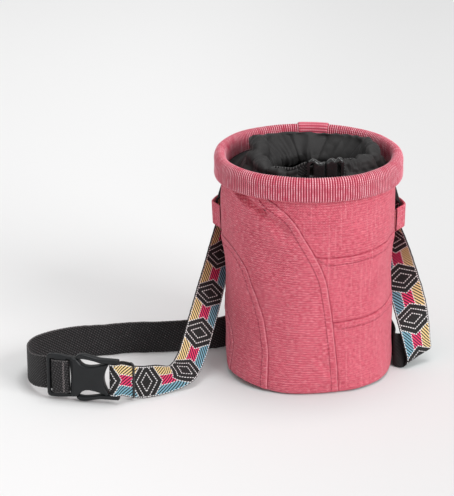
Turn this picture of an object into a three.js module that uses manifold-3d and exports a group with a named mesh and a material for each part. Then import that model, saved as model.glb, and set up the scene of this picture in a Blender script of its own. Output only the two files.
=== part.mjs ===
// A climbing chalk bag that stands open, with its waist belt buckled and lying round it.
// Millimetres, +Z up. The origin is the centre of the bag's round base on the floor, and its front faces -Y.

import * as THREE from "three";
import { mergeVertices } from "three/addons/utils/BufferGeometryUtils.js";
import Module from "manifold-3d";

const wasm = await Module();
wasm.setup();

// Driving dimensions
const FACETS = 44; // round the bag, the same for each round piece so that their faces keep their gap
const GAP = 0.3; // clearance where two pieces are sewn or seated together
const BODY_R = 61.5; // outer radius of the canvas
const CANVAS = 2; // canvas with its facing
const HEM_TUCK = 1.5; // how far the foot of the wall turns in
const RIM_TOP = 163;
const RIM_HEIGHT = 18;
const RIM_THICK = 8;
const RIM_OUT = 5.7; // how far the rim stands out from the canvas
const RIM_BITE = 8; // depth of the groove that holds the canvas
const RIM_LEAN = 2.7; // the bag leans this far to -X at its rim
const TAB_WIDTH = 24;
const TAB_PROUD = 1;
const TAB_TURN = 87;
const BASE_THICK = 2;
const LINING = 1.2;
const NYLON = 1;
const MOUTH_WIDTH = 98;
const MOUTH_DEPTH = 70;
const MOUTH_BACK = 6; // the mouth sits this far behind the bag's centre
const COLLAR_RISE = 12.5; // the collar's back edge above its seam
const PLEATS = 14;
const PLEAT_DEPTH = 2.2;
const BELT_WIDTH = 25;
const BELT_THICK = 1.2;
const FOLD_R = 1.3; // bend radius of the webbing where it is folded over
const LOOP_HEIGHT = 17.5;
const LOOP_FOOT = 101.5;
const LOOP_THICK = 1.5;
const LOOP_DEPTH = 9;
const SLEEVE_THICK = 1.4;
const SLEEVE_SPAN = 56; // degrees of the bag's back
const SLEEVE_HEM = 5;
const BUCKLE_LENGTH = 52.6;
const BUCKLE_HEIGHT = 33.2;
const BUCKLE_LOBES = 36.8;
const FRAME_THICK = 3;
const PLATE_THICK = 7;
const ARM_THICK = 4;
const CINCH_WIDTH = 10;
const CINCH_THICK = 1;
const CINCH_SIDE = 9.5; // how far the cinch buckle sits to +X
const CINCH_ENDS = [-38, 46]; // where its straps end, in degrees from the collar's front
const CINCH_BUCKLE_LENGTH = 25;
const CINCH_BUCKLE_HEIGHT = 17;
const CINCH_BUCKLE_THICK = 5;
const KEEPER_WIDTH = 1.6;
const KEEPER_THICK = 0.8;

// Sizes that follow
const RIM_FOOT = RIM_TOP - RIM_HEIGHT;
const GROOVE_TOP = RIM_FOOT + RIM_BITE;
const BODY_H = GROOVE_TOP - GAP;
const RIM_R = BODY_R + RIM_OUT;
const RIM_INNER = RIM_R - RIM_THICK;
const GROOVE_INNER = RIM_INNER + 1.5;
const BODY_TOP_R = GROOVE_INNER + GAP + CANVAS;
const LINING_TOP_R = RIM_INNER - GAP;
const LINING_TOP = GROOVE_TOP - 3;

// The canvas's outer radius up the bag: height as a share of BODY_H, radius as a share of BODY_R.
const BODY_PROFILE = [
  [0.02, 0.972],
  [0.11, 0.984],
  [0.25, 0.989],
  [0.45, 0.978],
  [0.57, 0.985],
  [0.67, 1.003],
  [0.93, 1.016],
];
// The seams: turn in degrees from +X about the bag, height as a share of BODY_H.
const FRONT_SEAM = [
  [-123, 1.03],
  [-119.7, 0.962],
  [-110.9, 0.924],
  [-102.7, 0.88],
  [-96.9, 0.832],
  [-92.9, 0.782],
  [-87, 0.709],
  [-81.1, 0.622],
  [-77.5, 0.545],
  [-75.5, 0.46],
  [-73.8, 0.376],
  [-72.2, 0.259],
  [-70.5, 0.142],
  [-69.6, 0.04],
  [-69.5, -0.03],
];
const UPPER_TUCK = [
  [-86, 0.682],
  [-66, 0.674],
  [-41, 0.68],
  [-15, 0.682],
  [90, 0.68],
  [182, 0.662],
  [201, 0.664],
  [213, 0.637],
  [222.3, 0.586],
  [228, 0.506],
  [234, 0.425],
  [238.4, 0.351],
  [240.7, 0.278],
  [242.1, 0.202],
  [242.6, 0.114],
  [243, 0.036],
  [243, -0.03],
];
const LOWER_TUCK = [
  [-75, 0.352],
  [-57, 0.353],
  [-41, 0.354],
  [-17, 0.361],
  [90, 0.36],
  [170, 0.355],
  [186, 0.318],
  [195.3, 0.279],
  [203.3, 0.228],
  [206.5, 0.174],
  [207.2, 0.112],
  [206, 0.035],
  [206, -0.03],
];
// A side loop: turn in degrees from the side towards the back, standoff as a share of LOOP_DEPTH.
const LOOP_ARCH = [
  [1, 0],
  [5, 0.28],
  [10, 0.81],
  [14, 0.9],
  [22, 0.88],
  [32, 0.81],
  [38, 0.66],
  [43, 0],
];
// The belt on its way over the bag's back, seen from above: side is -1 on the left and 1 on the right,
// turn in degrees from the side towards the back, and stand is the distance from the canvas as a share of LOOP_DEPTH.
const BACK_RUN = [
  [14, 0.7],
  [23, 0.66],
  [34.5, 0.62],
  [48, 0.56],
  [62, 0.58],
  [76, 0.6],
];
// The belt's free stretches. Each row places the ribbon's middle and its width: x and y as shares of
// BODY_R, the lower edge's height as a share of LOOP_FOOT, and the width's direction as its turn about Z
// and its tip above the floor.
const LEFT_STRETCH = [
  { x: -2.132, y: -1.32, low: 0.054, turn: -130, tip: 90 },
  { x: -2.02, y: -1.245, low: 0.022, turn: -130, tip: 90 },
  { x: -1.88, y: -1.175, low: 0, turn: -130, tip: 90 },
  { x: -1.74, y: -1.12, low: 0, turn: -130, tip: 84 },
  { x: -1.63, y: -1.054, low: 0, turn: -130, tip: 70 },
  { x: -1.472, y: -0.919, low: 0.046, turn: -152, tip: 38 },
  { x: -1.374, y: -0.675, low: 0.118, turn: -147.5, tip: 29 },
  { x: -1.265, y: -0.439, low: 0.33, turn: -147.5, tip: 27 },
  { x: -1.182, y: -0.1, low: 0.492, turn: -145, tip: 25 },
  { x: -1.08, y: 0.298, low: 0.733, turn: -135, tip: 20 },
];
const RIGHT_STRETCH = [
  { x: 1.0, y: 0.41, low: 0.81, turn: -38, tip: 9 },
  { x: 1.088, y: 0.42, low: 0.545, turn: -12, tip: 23 },
  { x: 1.188, y: 0.2, low: 0.372, turn: 10, tip: 21 },
  { x: 1.24, y: 0.02, low: 0.285, turn: 25, tip: 10 },
  { x: 1.282, y: -0.07, low: 0.18, turn: 35, tip: 1 },
  { x: 1.305, y: -0.075, low: 0.04, turn: 44, tip: 10 },
  { x: 1.215, y: -0.06, low: 0, turn: 58, tip: 38 },
  { x: 1.1, y: -0.125, low: 0, turn: 72, tip: 70 },
  { x: 1.02, y: -0.115, low: 0, turn: 80, tip: 84 },
  { x: 1.025, y: 0.07, low: 0, turn: 80, tip: 90 },
  { x: 0.965, y: 0.42, low: 0, turn: 80, tip: 90 },
  { x: 0.75, y: 0.78, low: 0, turn: 80, tip: 90 },
  { x: 0.36, y: 1.02, low: 0, turn: 80, tip: 90 },
  { x: 0.1, y: 1.08, low: 0, turn: 80, tip: 90 },
];
// The black webbing's floor route, as shares of BODY_R, from its lap behind the bag to the buckle.
const BLACK_ROUTE = [
  { x: 0.37, y: 1.055, low: 0 },
  { x: 0.1, y: 1.116, low: 0 },
  { x: -0.2, y: 1.1, low: 0 },
  { x: -0.55, y: 0.945, low: 0 },
  { x: -0.86, y: 0.62, low: 0 },
  { x: -1.04, y: 0.33, low: 0 },
  { x: -1.3, y: 0.24, low: 0 },
  { x: -1.58, y: 0.172, low: 0 },
  { x: -1.8, y: 0.133, low: 0 },
  { x: -2.17, y: 0.093, low: 0 },
  { x: -2.47, y: 0.008, low: 0 },
  { x: -2.755, y: -0.047, low: 0 },
  { x: -2.93, y: -0.12, low: 0 },
  { x: -3.11, y: -0.239, low: 0 },
  { x: -3.255, y: -0.4, low: 0 },
  { x: -3.3, y: -0.585, low: 0.003 },
  { x: -3.27, y: -0.79, low: 0.01 },
  { x: -3.19, y: -0.97, low: 0.025 },
];
// The buckle's place: its middle as shares of BODY_R and its turn about Z.
const BUCKLE_X = -2.59;
const BUCKLE_Y = -1.276;
const BUCKLE_TURN = THREE.MathUtils.degToRad(-8);

// Closed mesh from sections: each section is a ring of points, skinned to the next one.
// The run's ends are capped, or joined to each other when the sections close on themselves.
function skin(sections, closed = false) {
  const ring = sections[0].length;
  const points = sections.flat();
  const positions = points.flatMap((p) => [p.x, p.y, p.z]);
  const faces = [];
  const last = closed ? sections.length : sections.length - 1;
  for (let i = 0; i < last; i++) {
    const next = (i + 1) % sections.length;
    for (let j = 0; j < ring; j++) {
      const side = (j + 1) % ring;
      const [a, b, c, d] = [i * ring + j, i * ring + side, next * ring + side, next * ring + j];
      // The shorter diagonal, so that the two faces of a twisted sheet bend the same way.
      const onto = points[a].distanceTo(points[c]) < points[b].distanceTo(points[d]) - 1e-6;
      faces.push(...(onto ? [a, b, c, a, c, d] : [a, b, d, b, c, d]));
    }
  }
  if (!closed) {
    const end = (sections.length - 1) * ring;
    // A ribbon's ring is its face and then its back, so the cap is the strip between the two.
    for (let j = 0; j < ring / 2 - 1; j++) {
      const [a, b, c, d] = [j, j + 1, ring - 2 - j, ring - 1 - j];
      faces.push(a, c, b, a, d, c, end + a, end + b, end + c, end + a, end + c, end + d);
    }
  }
  return facingOut(positions, faces);
}

function facingOut(positions, faces) {
  const geometry = new THREE.BufferGeometry();
  geometry.setAttribute("position", new THREE.Float32BufferAttribute(positions, 3));
  const at = (i) => new THREE.Vector3().fromArray(positions, 3 * i);
  let volume = 0;
  for (let i = 0; i < faces.length; i += 3) {
    volume += at(faces[i]).dot(at(faces[i + 1]).cross(at(faces[i + 2])));
  }
  geometry.setIndex(volume < 0 ? faces.slice().reverse() : faces);
  geometry.computeVertexNormals();
  return geometry;
}

function toSolid(geometry) {
  const bare = new THREE.BufferGeometry();
  bare.setAttribute("position", geometry.getAttribute("position"));
  if (geometry.index) bare.setIndex(geometry.index);
  const merged = mergeVertices(bare, 1e-4);
  return new wasm.Manifold(
    new wasm.Mesh({
      numProp: 3,
      vertProperties: merged.attributes.position.array,
      triVerts: new Uint32Array(merged.index.array),
    }),
  );
}

function toGeometry(solid) {
  const mesh = solid.getMesh();
  const geometry = new THREE.BufferGeometry();
  geometry.setAttribute("position", new THREE.Float32BufferAttribute(mesh.vertProperties, 3));
  geometry.setIndex([...mesh.triVerts]);
  geometry.computeVertexNormals();
  return geometry;
}

// Value of a table's second column at a key of its first, with straight lines between rows.
function lookUp(table, key) {
  const after = table.findIndex((row) => row[0] >= key);
  if (after === 0) return table[0][1];
  if (after < 0) return table.at(-1)[1];
  const [k0, v0] = table[after - 1];
  const [k1, v1] = table[after];
  return v0 + ((v1 - v0) * (key - k0)) / (k1 - k0);
}

const PER_DEGREE = THREE.MathUtils.degToRad(BODY_R); // length along the canvas for each degree of turn
const bodyRadius = (z) => BODY_R * lookUp(BODY_PROFILE, z / BODY_H);
const leanAt = (z) => (-RIM_LEAN * z) / RIM_TOP;

// Point on the bag at a turn in degrees, a distance from its axis and a height, with the bag's lean.
function onBag(turn, radius, z) {
  const a = THREE.MathUtils.degToRad(turn);
  return new THREE.Vector3(leanAt(z) + radius * Math.cos(a), radius * Math.sin(a), z);
}

// Solid of revolution about the bag's leaning axis, from a closed profile of radius and height.
function turned(profile) {
  const points = [...profile, profile[0]].map(([r, z]) => new THREE.Vector2(r, z));
  const geometry = new THREE.LatheGeometry(points, FACETS);
  geometry.rotateX(Math.PI / 2);
  const position = geometry.getAttribute("position");
  for (let i = 0; i < position.count; i++) {
    position.setX(i, position.getX(i) + leanAt(position.getZ(i)));
  }
  return geometry;
}

// Smooth curve over the unrolled bag through a table's rows of turn and height, in points about a step apart.
function unrolled(rows, step) {
  const points = rows.map(([turn, z]) => new THREE.Vector3(turn * PER_DEGREE, z, 0));
  const curve = new THREE.CatmullRomCurve3(points, false, "centripetal");
  const spaced = curve.getSpacedPoints(Math.ceil(curve.getLength() / step));
  return spaced.map((p) => new THREE.Vector2(p.x, p.y));
}

const materials = {
  canvas: new THREE.MeshStandardMaterial({ color: 0xd97585, roughness: 0.9, metalness: 0 }),
  binding: new THREE.MeshStandardMaterial({ color: 0xc2405c, roughness: 0.75, metalness: 0 }),
  nylon: new THREE.MeshStandardMaterial({ color: 0x2b2b2d, roughness: 0.6, metalness: 0 }),
  webbing: new THREE.MeshStandardMaterial({ color: 0x23201f, roughness: 0.8, metalness: 0 }),
  jacquard: new THREE.MeshStandardMaterial({ color: 0x8a6a66, roughness: 0.8, metalness: 0 }),
  plastic: new THREE.MeshStandardMaterial({ color: 0x1b1c1e, roughness: 0.45, metalness: 0 }),
};

const chalkBag = new THREE.Group();
function add(name, geometry, material, parent = chalkBag) {
  const mesh = new THREE.Mesh(geometry, material);
  mesh.name = name;
  parent.add(mesh);
  return mesh;
}

// Canvas panels: one wall, cut along the seams into three long pieces that spiral round the bag.
function canvasWall() {
  const footR = bodyRadius(0) - HEM_TUCK;
  const rows = [
    [0, footR],
    [HEM_TUCK, bodyRadius(0) - HEM_TUCK / 4],
    ...BODY_PROFILE.map(([h]) => [h * BODY_H, bodyRadius(h * BODY_H)]),
    [RIM_FOOT + GAP, BODY_TOP_R],
    [BODY_H, BODY_TOP_R],
  ].sort((a, b) => a[0] - b[0]);
  const outer = rows.map(([z, r]) => [r, z]);
  const inner = rows.map(([z, r]) => [r - CANVAS, z]).reverse();
  return turned([...outer, ...inner]);
}

// Thin blade along a seam, through the wall.
function seamBlade(table) {
  const path = unrolled(
    table.map(([turn, share]) => [turn, share * BODY_H]),
    BODY_R / 6,
  );
  const reach = 2.5 * CANVAS;
  const sections = path.map((p, i) => {
    const before = path[Math.max(i - 1, 0)];
    const after = path[Math.min(i + 1, path.length - 1)];
    const along = after.clone().sub(before).normalize();
    const turn = p.x / PER_DEGREE;
    const turnStep = (-along.y * GAP) / 2 / PER_DEGREE;
    const riseStep = (along.x * GAP) / 2;
    const r = bodyRadius(p.y);
    return [
      onBag(turn - turnStep, r - reach, p.y - riseStep),
      onBag(turn - turnStep, r + reach, p.y - riseStep),
      onBag(turn + turnStep, r + reach, p.y + riseStep),
      onBag(turn + turnStep, r - reach, p.y + riseStep),
    ];
  });
  return toSolid(skin(sections));
}

function addPanels() {
  const wall = toSolid(canvasWall());
  const seams = [FRONT_SEAM, UPPER_TUCK, LOWER_TUCK];
  const cut = seams.reduce((solid, seam) => solid.subtract(seamBlade(seam)), wall);
  const top = (solid) => solid.boundingBox().max[2];
  const names = ["panel_upper", "panel_middle", "panel_lower"];
  cut
    .decompose()
    .sort((a, b) => top(b) - top(a))
    .forEach((solid, i) => add(names[i], toGeometry(solid), materials.canvas));
}

function addBase() {
  const radius = bodyRadius(0) - HEM_TUCK - CANVAS - GAP;
  const disc = new THREE.CylinderGeometry(radius, radius, BASE_THICK, 48);
  disc.rotateX(Math.PI / 2);
  add("base_panel", disc, materials.canvas).position.z = BASE_THICK / 2;
}

function addRim() {
  const crown = RIM_THICK / 2;
  const arch = Array.from({ length: 6 }, (_, i) => {
    const a = (i * Math.PI) / 5;
    return [RIM_R - crown + crown * Math.cos(a), RIM_TOP - crown + crown * Math.sin(a)];
  });
  const soft = 1; // rounding of the binding's lower edges
  const section = [
    [BODY_TOP_R + GAP, RIM_FOOT + GAP],
    [RIM_R - soft, RIM_FOOT],
    [RIM_R, RIM_FOOT + soft],
    ...arch,
    [RIM_INNER, GROOVE_TOP - RIM_BITE / 2],
    [GROOVE_INNER, GROOVE_TOP - RIM_BITE / 2],
    [GROOVE_INNER, GROOVE_TOP],
    [BODY_TOP_R + GAP, GROOVE_TOP],
  ];
  add("rim_binding", turned(section), materials.binding);

  // The tab wraps the rim from its outer face over the crown to its inner face.
  const half = THREE.MathUtils.radToDeg(TAB_WIDTH / 2 / RIM_R);
  const wrap = [
    [RIM_R, RIM_FOOT + 2],
    ...arch,
    [RIM_INNER, RIM_TOP - RIM_THICK],
  ];
  const middle = [RIM_R - crown, RIM_TOP - crown];
  const sections = Array.from({ length: 5 }, (_, i) => {
    const turn = TAB_TURN - half + (i * half) / 2;
    const pushed = (by) =>
      wrap.map(([r, z]) => {
        const out = new THREE.Vector2(r - middle[0], Math.max(z - middle[1], 0)).setLength(by);
        return onBag(turn, r + out.x, z + out.y);
      });
    return [...pushed(GAP + TAB_PROUD), ...pushed(GAP).reverse()];
  });
  add("rim_tab", skin(sections), materials.binding);
}

function addLining() {
  const floor = BASE_THICK + GAP;
  const side = BODY_PROFILE.slice(1).map(([h, share]) => [share * BODY_R - CANVAS - GAP, h * BODY_H]);
  const footR = bodyRadius(0) - HEM_TUCK - CANVAS - GAP;
  const outer = [[footR, floor], ...side, [LINING_TOP_R, RIM_FOOT], [LINING_TOP_R, LINING_TOP]];
  const inner = outer.map(([r, z], i) => [r - LINING, i ? z : floor + LINING]).reverse();
  const section = [[0, floor], ...outer, ...inner, [0, floor + LINING]];
  add("lining", turned(section), materials.nylon);
}

// Collar: a gathered skirt from the lining's top edge up and in to the mouth.
const COLLAR_FOOT = LINING_TOP + GAP;
function collarPoint(turn, rise, out) {
  const a = THREE.MathUtils.degToRad(turn);
  const foot = new THREE.Vector3(
    leanAt(COLLAR_FOOT) + (LINING_TOP_R - NYLON) * Math.cos(a),
    (LINING_TOP_R - NYLON) * Math.sin(a),
    COLLAR_FOOT,
  );
  const frontLift = COLLAR_RISE * 0.5 * Math.max(0, -Math.sin(a));
  const mouth = new THREE.Vector3(
    leanAt(RIM_TOP) + (MOUTH_WIDTH / 2) * Math.cos(a),
    MOUTH_BACK + (MOUTH_DEPTH / 2) * Math.sin(a),
    COLLAR_FOOT + COLLAR_RISE + frontLift,
  );
  // The skirt goes in over the lining's edge first and then stands up.
  const inwards = Math.min(1, 2.4 * rise) ** 0.8;
  const point = foot.clone().lerp(mouth, inwards).setZ(THREE.MathUtils.lerp(foot.z, mouth.z, rise ** 1.7));
  const push = out * rise + PLEAT_DEPTH * rise * Math.cos(PLEATS * a);
  return point.add(new THREE.Vector3(Math.cos(a) * push, Math.sin(a) * push, out * (1 - rise)));
}

function addCollar() {
  const rises = [0, 0.2, 0.45, 1];
  const steps = 4 * PLEATS;
  const sections = Array.from({ length: steps }, (_, i) => {
    const turn = (360 * i) / steps;
    return [
      ...rises.map((rise) => collarPoint(turn, rise, NYLON)),
      ...rises.map((rise) => collarPoint(turn, rise, 0)).reverse(),
    ];
  });
  add("closure_collar", skin(sections, true), materials.nylon);
}

// Cinch: a strap in two parts round the collar's front, with a small side-release buckle between them.
function addCinch() {
  const stand = PLEAT_DEPTH + NYLON + 2 * GAP + CINCH_THICK / 2;
  const buckleZ = COLLAR_FOOT + COLLAR_RISE + 1;
  const half = CINCH_BUCKLE_LENGTH / 2;
  const buckleY = MOUTH_BACK - MOUTH_DEPTH / 2 - stand - CINCH_BUCKLE_THICK / 2;
  const hugging = (turn) => {
    const a = THREE.MathUtils.degToRad(turn - 90);
    const x = leanAt(buckleZ) + (MOUTH_WIDTH / 2 + stand) * Math.cos(a);
    return new THREE.Vector3(x, MOUTH_BACK + (MOUTH_DEPTH / 2 + stand) * Math.sin(a), 0);
  };
  for (const [name, side, end] of [
    ["cinch_strap_left", -1, CINCH_ENDS[0]],
    ["cinch_strap_right", 1, CINCH_ENDS[1]],
  ]) {
    const start = new THREE.Vector3(CINCH_SIDE + side * (half + GAP), buckleY, 0);
    const next = start.clone().setX(start.x + side * GAP);
    const route = [start, next, hugging(0.75 * end), hugging(end)];
    const path = new THREE.CatmullRomCurve3(route, false, "centripetal");
    const sections = Array.from({ length: 9 }, (_, i) => {
      const p = path.getPointAt(i / 8);
      const tangent = path.getTangentAt(i / 8);
      const normal = new THREE.Vector3(tangent.y, -tangent.x, 0);
      const corner = (out, up) => p.clone().addScaledVector(normal, out).setZ(buckleZ + up);
      const [d, h] = [CINCH_THICK / 2, CINCH_WIDTH / 2];
      return [corner(-d, -h), corner(-d, h), corner(d, h), corner(d, -h)];
    });
    add(name, skin(sections), materials.webbing);
  }

  const waist = CINCH_BUCKLE_HEIGHT * 0.36;
  const full = CINCH_BUCKLE_HEIGHT / 2;
  const socket = outline([
    [-half, -full],
    [-half * 0.55, -full],
    [-half * 0.4, -waist],
    [0, -waist],
    [0, waist],
    [-half * 0.4, waist],
    [-half * 0.55, full],
    [-half, full],
  ]);
  const plug = outline([
    [GAP, -waist],
    [half * 0.3, -full],
    [half, -full * 0.85],
    [half, full * 0.85],
    [half * 0.3, full],
    [GAP, waist],
  ]);
  for (const [name, shape] of [
    ["cinch_buckle_socket", socket],
    ["cinch_buckle_plug", plug],
  ]) {
    const mesh = add(name, plate(shape, CINCH_BUCKLE_THICK), materials.plastic);
    mesh.position.set(CINCH_SIDE, buckleY, buckleZ);
  }
}

const outline = (points) => new THREE.Shape(points.map(([x, z]) => new THREE.Vector2(x, z)));

// Flat plate in the XZ plane with its thickness centred on Y.
function plate(shape, thick) {
  const geometry = new THREE.ExtrudeGeometry(shape, { depth: thick, bevelEnabled: false });
  geometry.translate(0, 0, -thick / 2);
  geometry.rotateX(Math.PI / 2);
  return geometry;
}

const sideTurn = (side, turn) => (side > 0 ? turn : 180 - turn);

function addSideLoops() {
  for (const [name, side] of [
    ["side_loop_left", -1],
    ["side_loop_right", 1],
  ]) {
    const arch = LOOP_ARCH.map(([turn, stand]) => [turn, stand * LOOP_DEPTH]);
    const sections = unrolled(arch, LOOP_DEPTH / 3).map((p) => {
      const at = (out, z) => onBag(sideTurn(side, p.x / PER_DEGREE), bodyRadius(z) + GAP + p.y + out, z);
      const top = LOOP_FOOT + LOOP_HEIGHT;
      return [at(LOOP_THICK, LOOP_FOOT), at(LOOP_THICK, top), at(0, top), at(0, LOOP_FOOT)];
    });
    add(name, skin(sections), materials.canvas);
  }
}

// Belt route over the back, seen from above, from the left loop to the right one.
const RUN_FOOT = LOOP_FOOT + LOOP_HEIGHT + 2 * GAP;
const FOLD_FOOT = RUN_FOOT - (Math.PI * FOLD_R) / Math.SQRT2; // where the fold starts, at the front edge
const backCurve = (() => {
  const z = RUN_FOOT + BELT_WIDTH / 2;
  const at = (side) => ([turn, stand]) =>
    onBag(sideTurn(side, turn), bodyRadius(z) + stand * LOOP_DEPTH, z).setZ(0);
  const points = [...BACK_RUN.map(at(-1)), ...BACK_RUN.map(at(1)).reverse()];
  return new THREE.CatmullRomCurve3(points, false, "centripetal");
})();
const BACK_LENGTH = backCurve.getLength();

// Point of the belt where it goes up through a loop, folds over its own diagonal and runs across the back.
// climb is the distance up from the loop's foot, and across goes from the belt's front edge to its rear one.
function foldedPoint(side, climb, across, out) {
  const rise = LOOP_FOOT + climb - FOLD_FOOT;
  const past = (rise - across) / Math.SQRT2;
  const along = (rise + across) / Math.SQRT2;
  let swing = past;
  let depth = out;
  const bend = Math.PI * FOLD_R;
  if (past > bend) {
    swing = bend - past;
    depth = -2 * FOLD_R - out;
  } else if (past > 0) {
    const a = past / FOLD_R;
    swing = (FOLD_R + out) * Math.sin(a);
    depth = -FOLD_R + (FOLD_R + out) * Math.cos(a);
  }
  const t = (along - swing) / Math.SQRT2;
  const z = FOLD_FOOT + (along + swing) / Math.SQRT2;
  const share = THREE.MathUtils.clamp(t / BACK_LENGTH, 0, 1);
  const u = side < 0 ? share : 1 - share;
  const p = backCurve.getPointAt(u);
  const tangent = backCurve.getTangentAt(u);
  const normal = new THREE.Vector3(tangent.y, -tangent.x, 0).normalize().multiplyScalar(-1);
  const beyond = t < 0 ? t : 0;
  const step = tangent.multiplyScalar(side < 0 ? beyond : -beyond);
  return p.add(step).addScaledVector(normal, depth).setZ(z);
}

// Ribbon section from its rows' middle, width direction and normal.
const ACROSS = 2;
function ribbonRing(pointAt, across = ACROSS) {
  const stops = Array.from({ length: across + 1 }, (_, i) => i / across);
  const half = BELT_THICK / 2;
  return [...stops.map((s) => pointAt(s, half)), ...stops.map((s) => pointAt(s, -half)).reverse()];
}

// A free stretch's rings, through its rows.
function stretchRings(rows, count) {
  const middle = rows.map((row) => {
    const tip = THREE.MathUtils.degToRad(row.tip);
    const rise = (Math.sin(tip) * BELT_WIDTH + Math.cos(tip) * BELT_THICK) / 2;
    return new THREE.Vector3(row.x * BODY_R, row.y * BODY_R, row.low * LOOP_FOOT + rise);
  });
  const path = new THREE.CatmullRomCurve3(middle, false, "centripetal");
  const widths = rows.map((row) => {
    const [turn, tip] = [row.turn, row.tip].map(THREE.MathUtils.degToRad);
    return new THREE.Vector3(Math.cos(tip) * Math.cos(turn), Math.cos(tip) * Math.sin(turn), Math.sin(tip));
  });
  return Array.from({ length: count + 1 }, (_, i) => {
    const u = i / count;
    const p = path.getPoint(u);
    const place = u * (rows.length - 1);
    const row = Math.min(Math.floor(place), rows.length - 2);
    const width = widths[row].clone().lerp(widths[row + 1], place - row).normalize();
    const tangent = path.getTangent(u);
    const normal = new THREE.Vector3().crossVectors(tangent, width).normalize();
    const flat = Math.hypot(width.x, width.y);
    p.setZ(Math.max(p.z, (width.z * BELT_WIDTH + flat * BELT_THICK) / 2)); // never under the floor
    return { p, width, normal };
  });
}

function ringsFrom(frames, across = ACROSS) {
  return frames.map(({ p, width, normal }) =>
    ribbonRing(
      (s, out) =>
        p
          .clone()
          .addScaledVector(width, (0.5 - s) * BELT_WIDTH)
          .addScaledVector(normal, out),
      across,
    ),
  );
}

// Plan route in the buckle's own frame, as a stretch of rows.
function buckleRows(points, low) {
  const [c, s] = [Math.cos(BUCKLE_TURN), Math.sin(BUCKLE_TURN)];
  return points.map(([along, back]) => ({
    x: BUCKLE_X + (along * c - back * s) / BODY_R,
    y: BUCKLE_Y + (along * s + back * c) / BODY_R,
    low,
    turn: -130,
    tip: 90,
  }));
}

const BUCKLE_LOW = (BUCKLE_LOBES - BELT_WIDTH) / 2;
const lift = BUCKLE_LOW / LOOP_FOOT;
const PLY = BELT_THICK + GAP; // one layer of webbing on another
const PLUG_BAR = BUCKLE_LENGTH * 0.428;
const PLUG_BAR_THICK = 2;
const WRAP = PLUG_BAR_THICK / 2 + GAP + BELT_THICK / 2;

function addPatternedBelt() {
  // The end lies doubled behind the belt, comes forward round the plug's bar and turns into the floor run.
  const tail = LEFT_STRETCH.slice(0, 2).reverse();
  const doubled = tail.map((row) => ({ ...row, y: row.y + (2 * WRAP) / BODY_R, low: row.low + 0.002 }));
  const round = buckleRows(
    [
      [PLUG_BAR + 2.5, WRAP],
      ...[90, 135, 180, 225, 270].map((angle) => {
        const a = THREE.MathUtils.degToRad(angle);
        return [PLUG_BAR + WRAP * Math.cos(a), WRAP * Math.sin(a)];
      }),
      [PLUG_BAR + 2.5, -WRAP],
    ],
    lift,
  );
  const run = [...doubled, ...round, ...LEFT_STRETCH];
  const left = ringsFrom(stretchRings([...run, loopRow(-1)], 64));
  // Over the fold the rings run along its diagonal, and then they turn upright again for the back.
  const ringAt = (side, climbs) =>
    ribbonRing((s, out) => foldedPoint(side, climbs(s), s * BELT_WIDTH, -out));
  const bend = Math.PI * FOLD_R * Math.SQRT2;
  const start = FOLD_FOOT - LOOP_FOOT;
  const upright = start + BELT_WIDTH + bend + 1;
  const oblique = (s) => start + s * BELT_WIDTH;
  const turning = (share) => (s) => THREE.MathUtils.lerp(oblique(s) + bend, upright, share);
  const backStep = (BACK_LENGTH - 2 * BELT_WIDTH) / 15;
  const folded = (side) => [
    ...[0, 0.25, 0.5, 0.75, 1].map((share) => ringAt(side, (s) => oblique(s) + share * bend)),
    ...[0.35, 0.7].map((share) => ringAt(side, turning(share))),
    ...Array.from({ length: 7 }, (_, i) => ringAt(side, () => upright + i * backStep)),
  ];
  const right = ringsFrom(stretchRings([loopRow(1), ...RIGHT_STRETCH], 44));
  const rings = [...left, ...folded(-1), ...folded(1).reverse(), ...right];
  add("belt_webbing_patterned", skin(rings), materials.jacquard);
}

// The belt's row at a loop's foot, in line with its folded stretch above.
function loopRow(side) {
  const front = foldedPoint(side, 0, 0, 0);
  const rear = foldedPoint(side, 0, BELT_WIDTH, 0);
  const width = front.clone().sub(rear);
  return {
    x: (front.x + rear.x) / 2 / BODY_R,
    y: (front.y + rear.y) / 2 / BODY_R,
    low: 1,
    turn: THREE.MathUtils.radToDeg(Math.atan2(width.y, width.x)),
    tip: 0,
  };
}

const SOCKET_BAR = [-0.38, -0.202]; // the socket's wide bar, as shares of BUCKLE_LENGTH
function addBlackBelt() {
  const [barFrom, barTo] = SOCKET_BAR.map((share) => share * BUCKLE_LENGTH);
  const near = FRAME_THICK / 2 + GAP + BELT_THICK / 2;
  const edge = GAP + BELT_THICK / 2;
  const corner = BELT_THICK * 0.75; // how far short of the bar's corner the webbing starts to turn
  const round = buckleRows(
    [
      [barFrom - 8, near + PLY],
      [barFrom, near + PLY + 0.1],
      [barTo - 1, near + PLY],
      [barTo + edge, near],
      [barTo + edge, -near + corner],
      [barTo - GAP, -near],
      [(barFrom + barTo) / 2, -near],
      [barFrom + GAP, -near],
      [barFrom - edge, -near + corner],
      [barFrom - edge, near - corner],
      [barFrom + GAP, near],
      [(barFrom + barTo) / 2, near],
      [barTo - 2.5, near],
    ],
    lift,
  );
  const rows = [...BLACK_ROUTE.map((row) => ({ turn: -130, tip: 90, ...row })), ...round];
  add("belt_webbing_black", skin(ringsFrom(stretchRings(rows, 100), 1)), materials.webbing);
}

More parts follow.
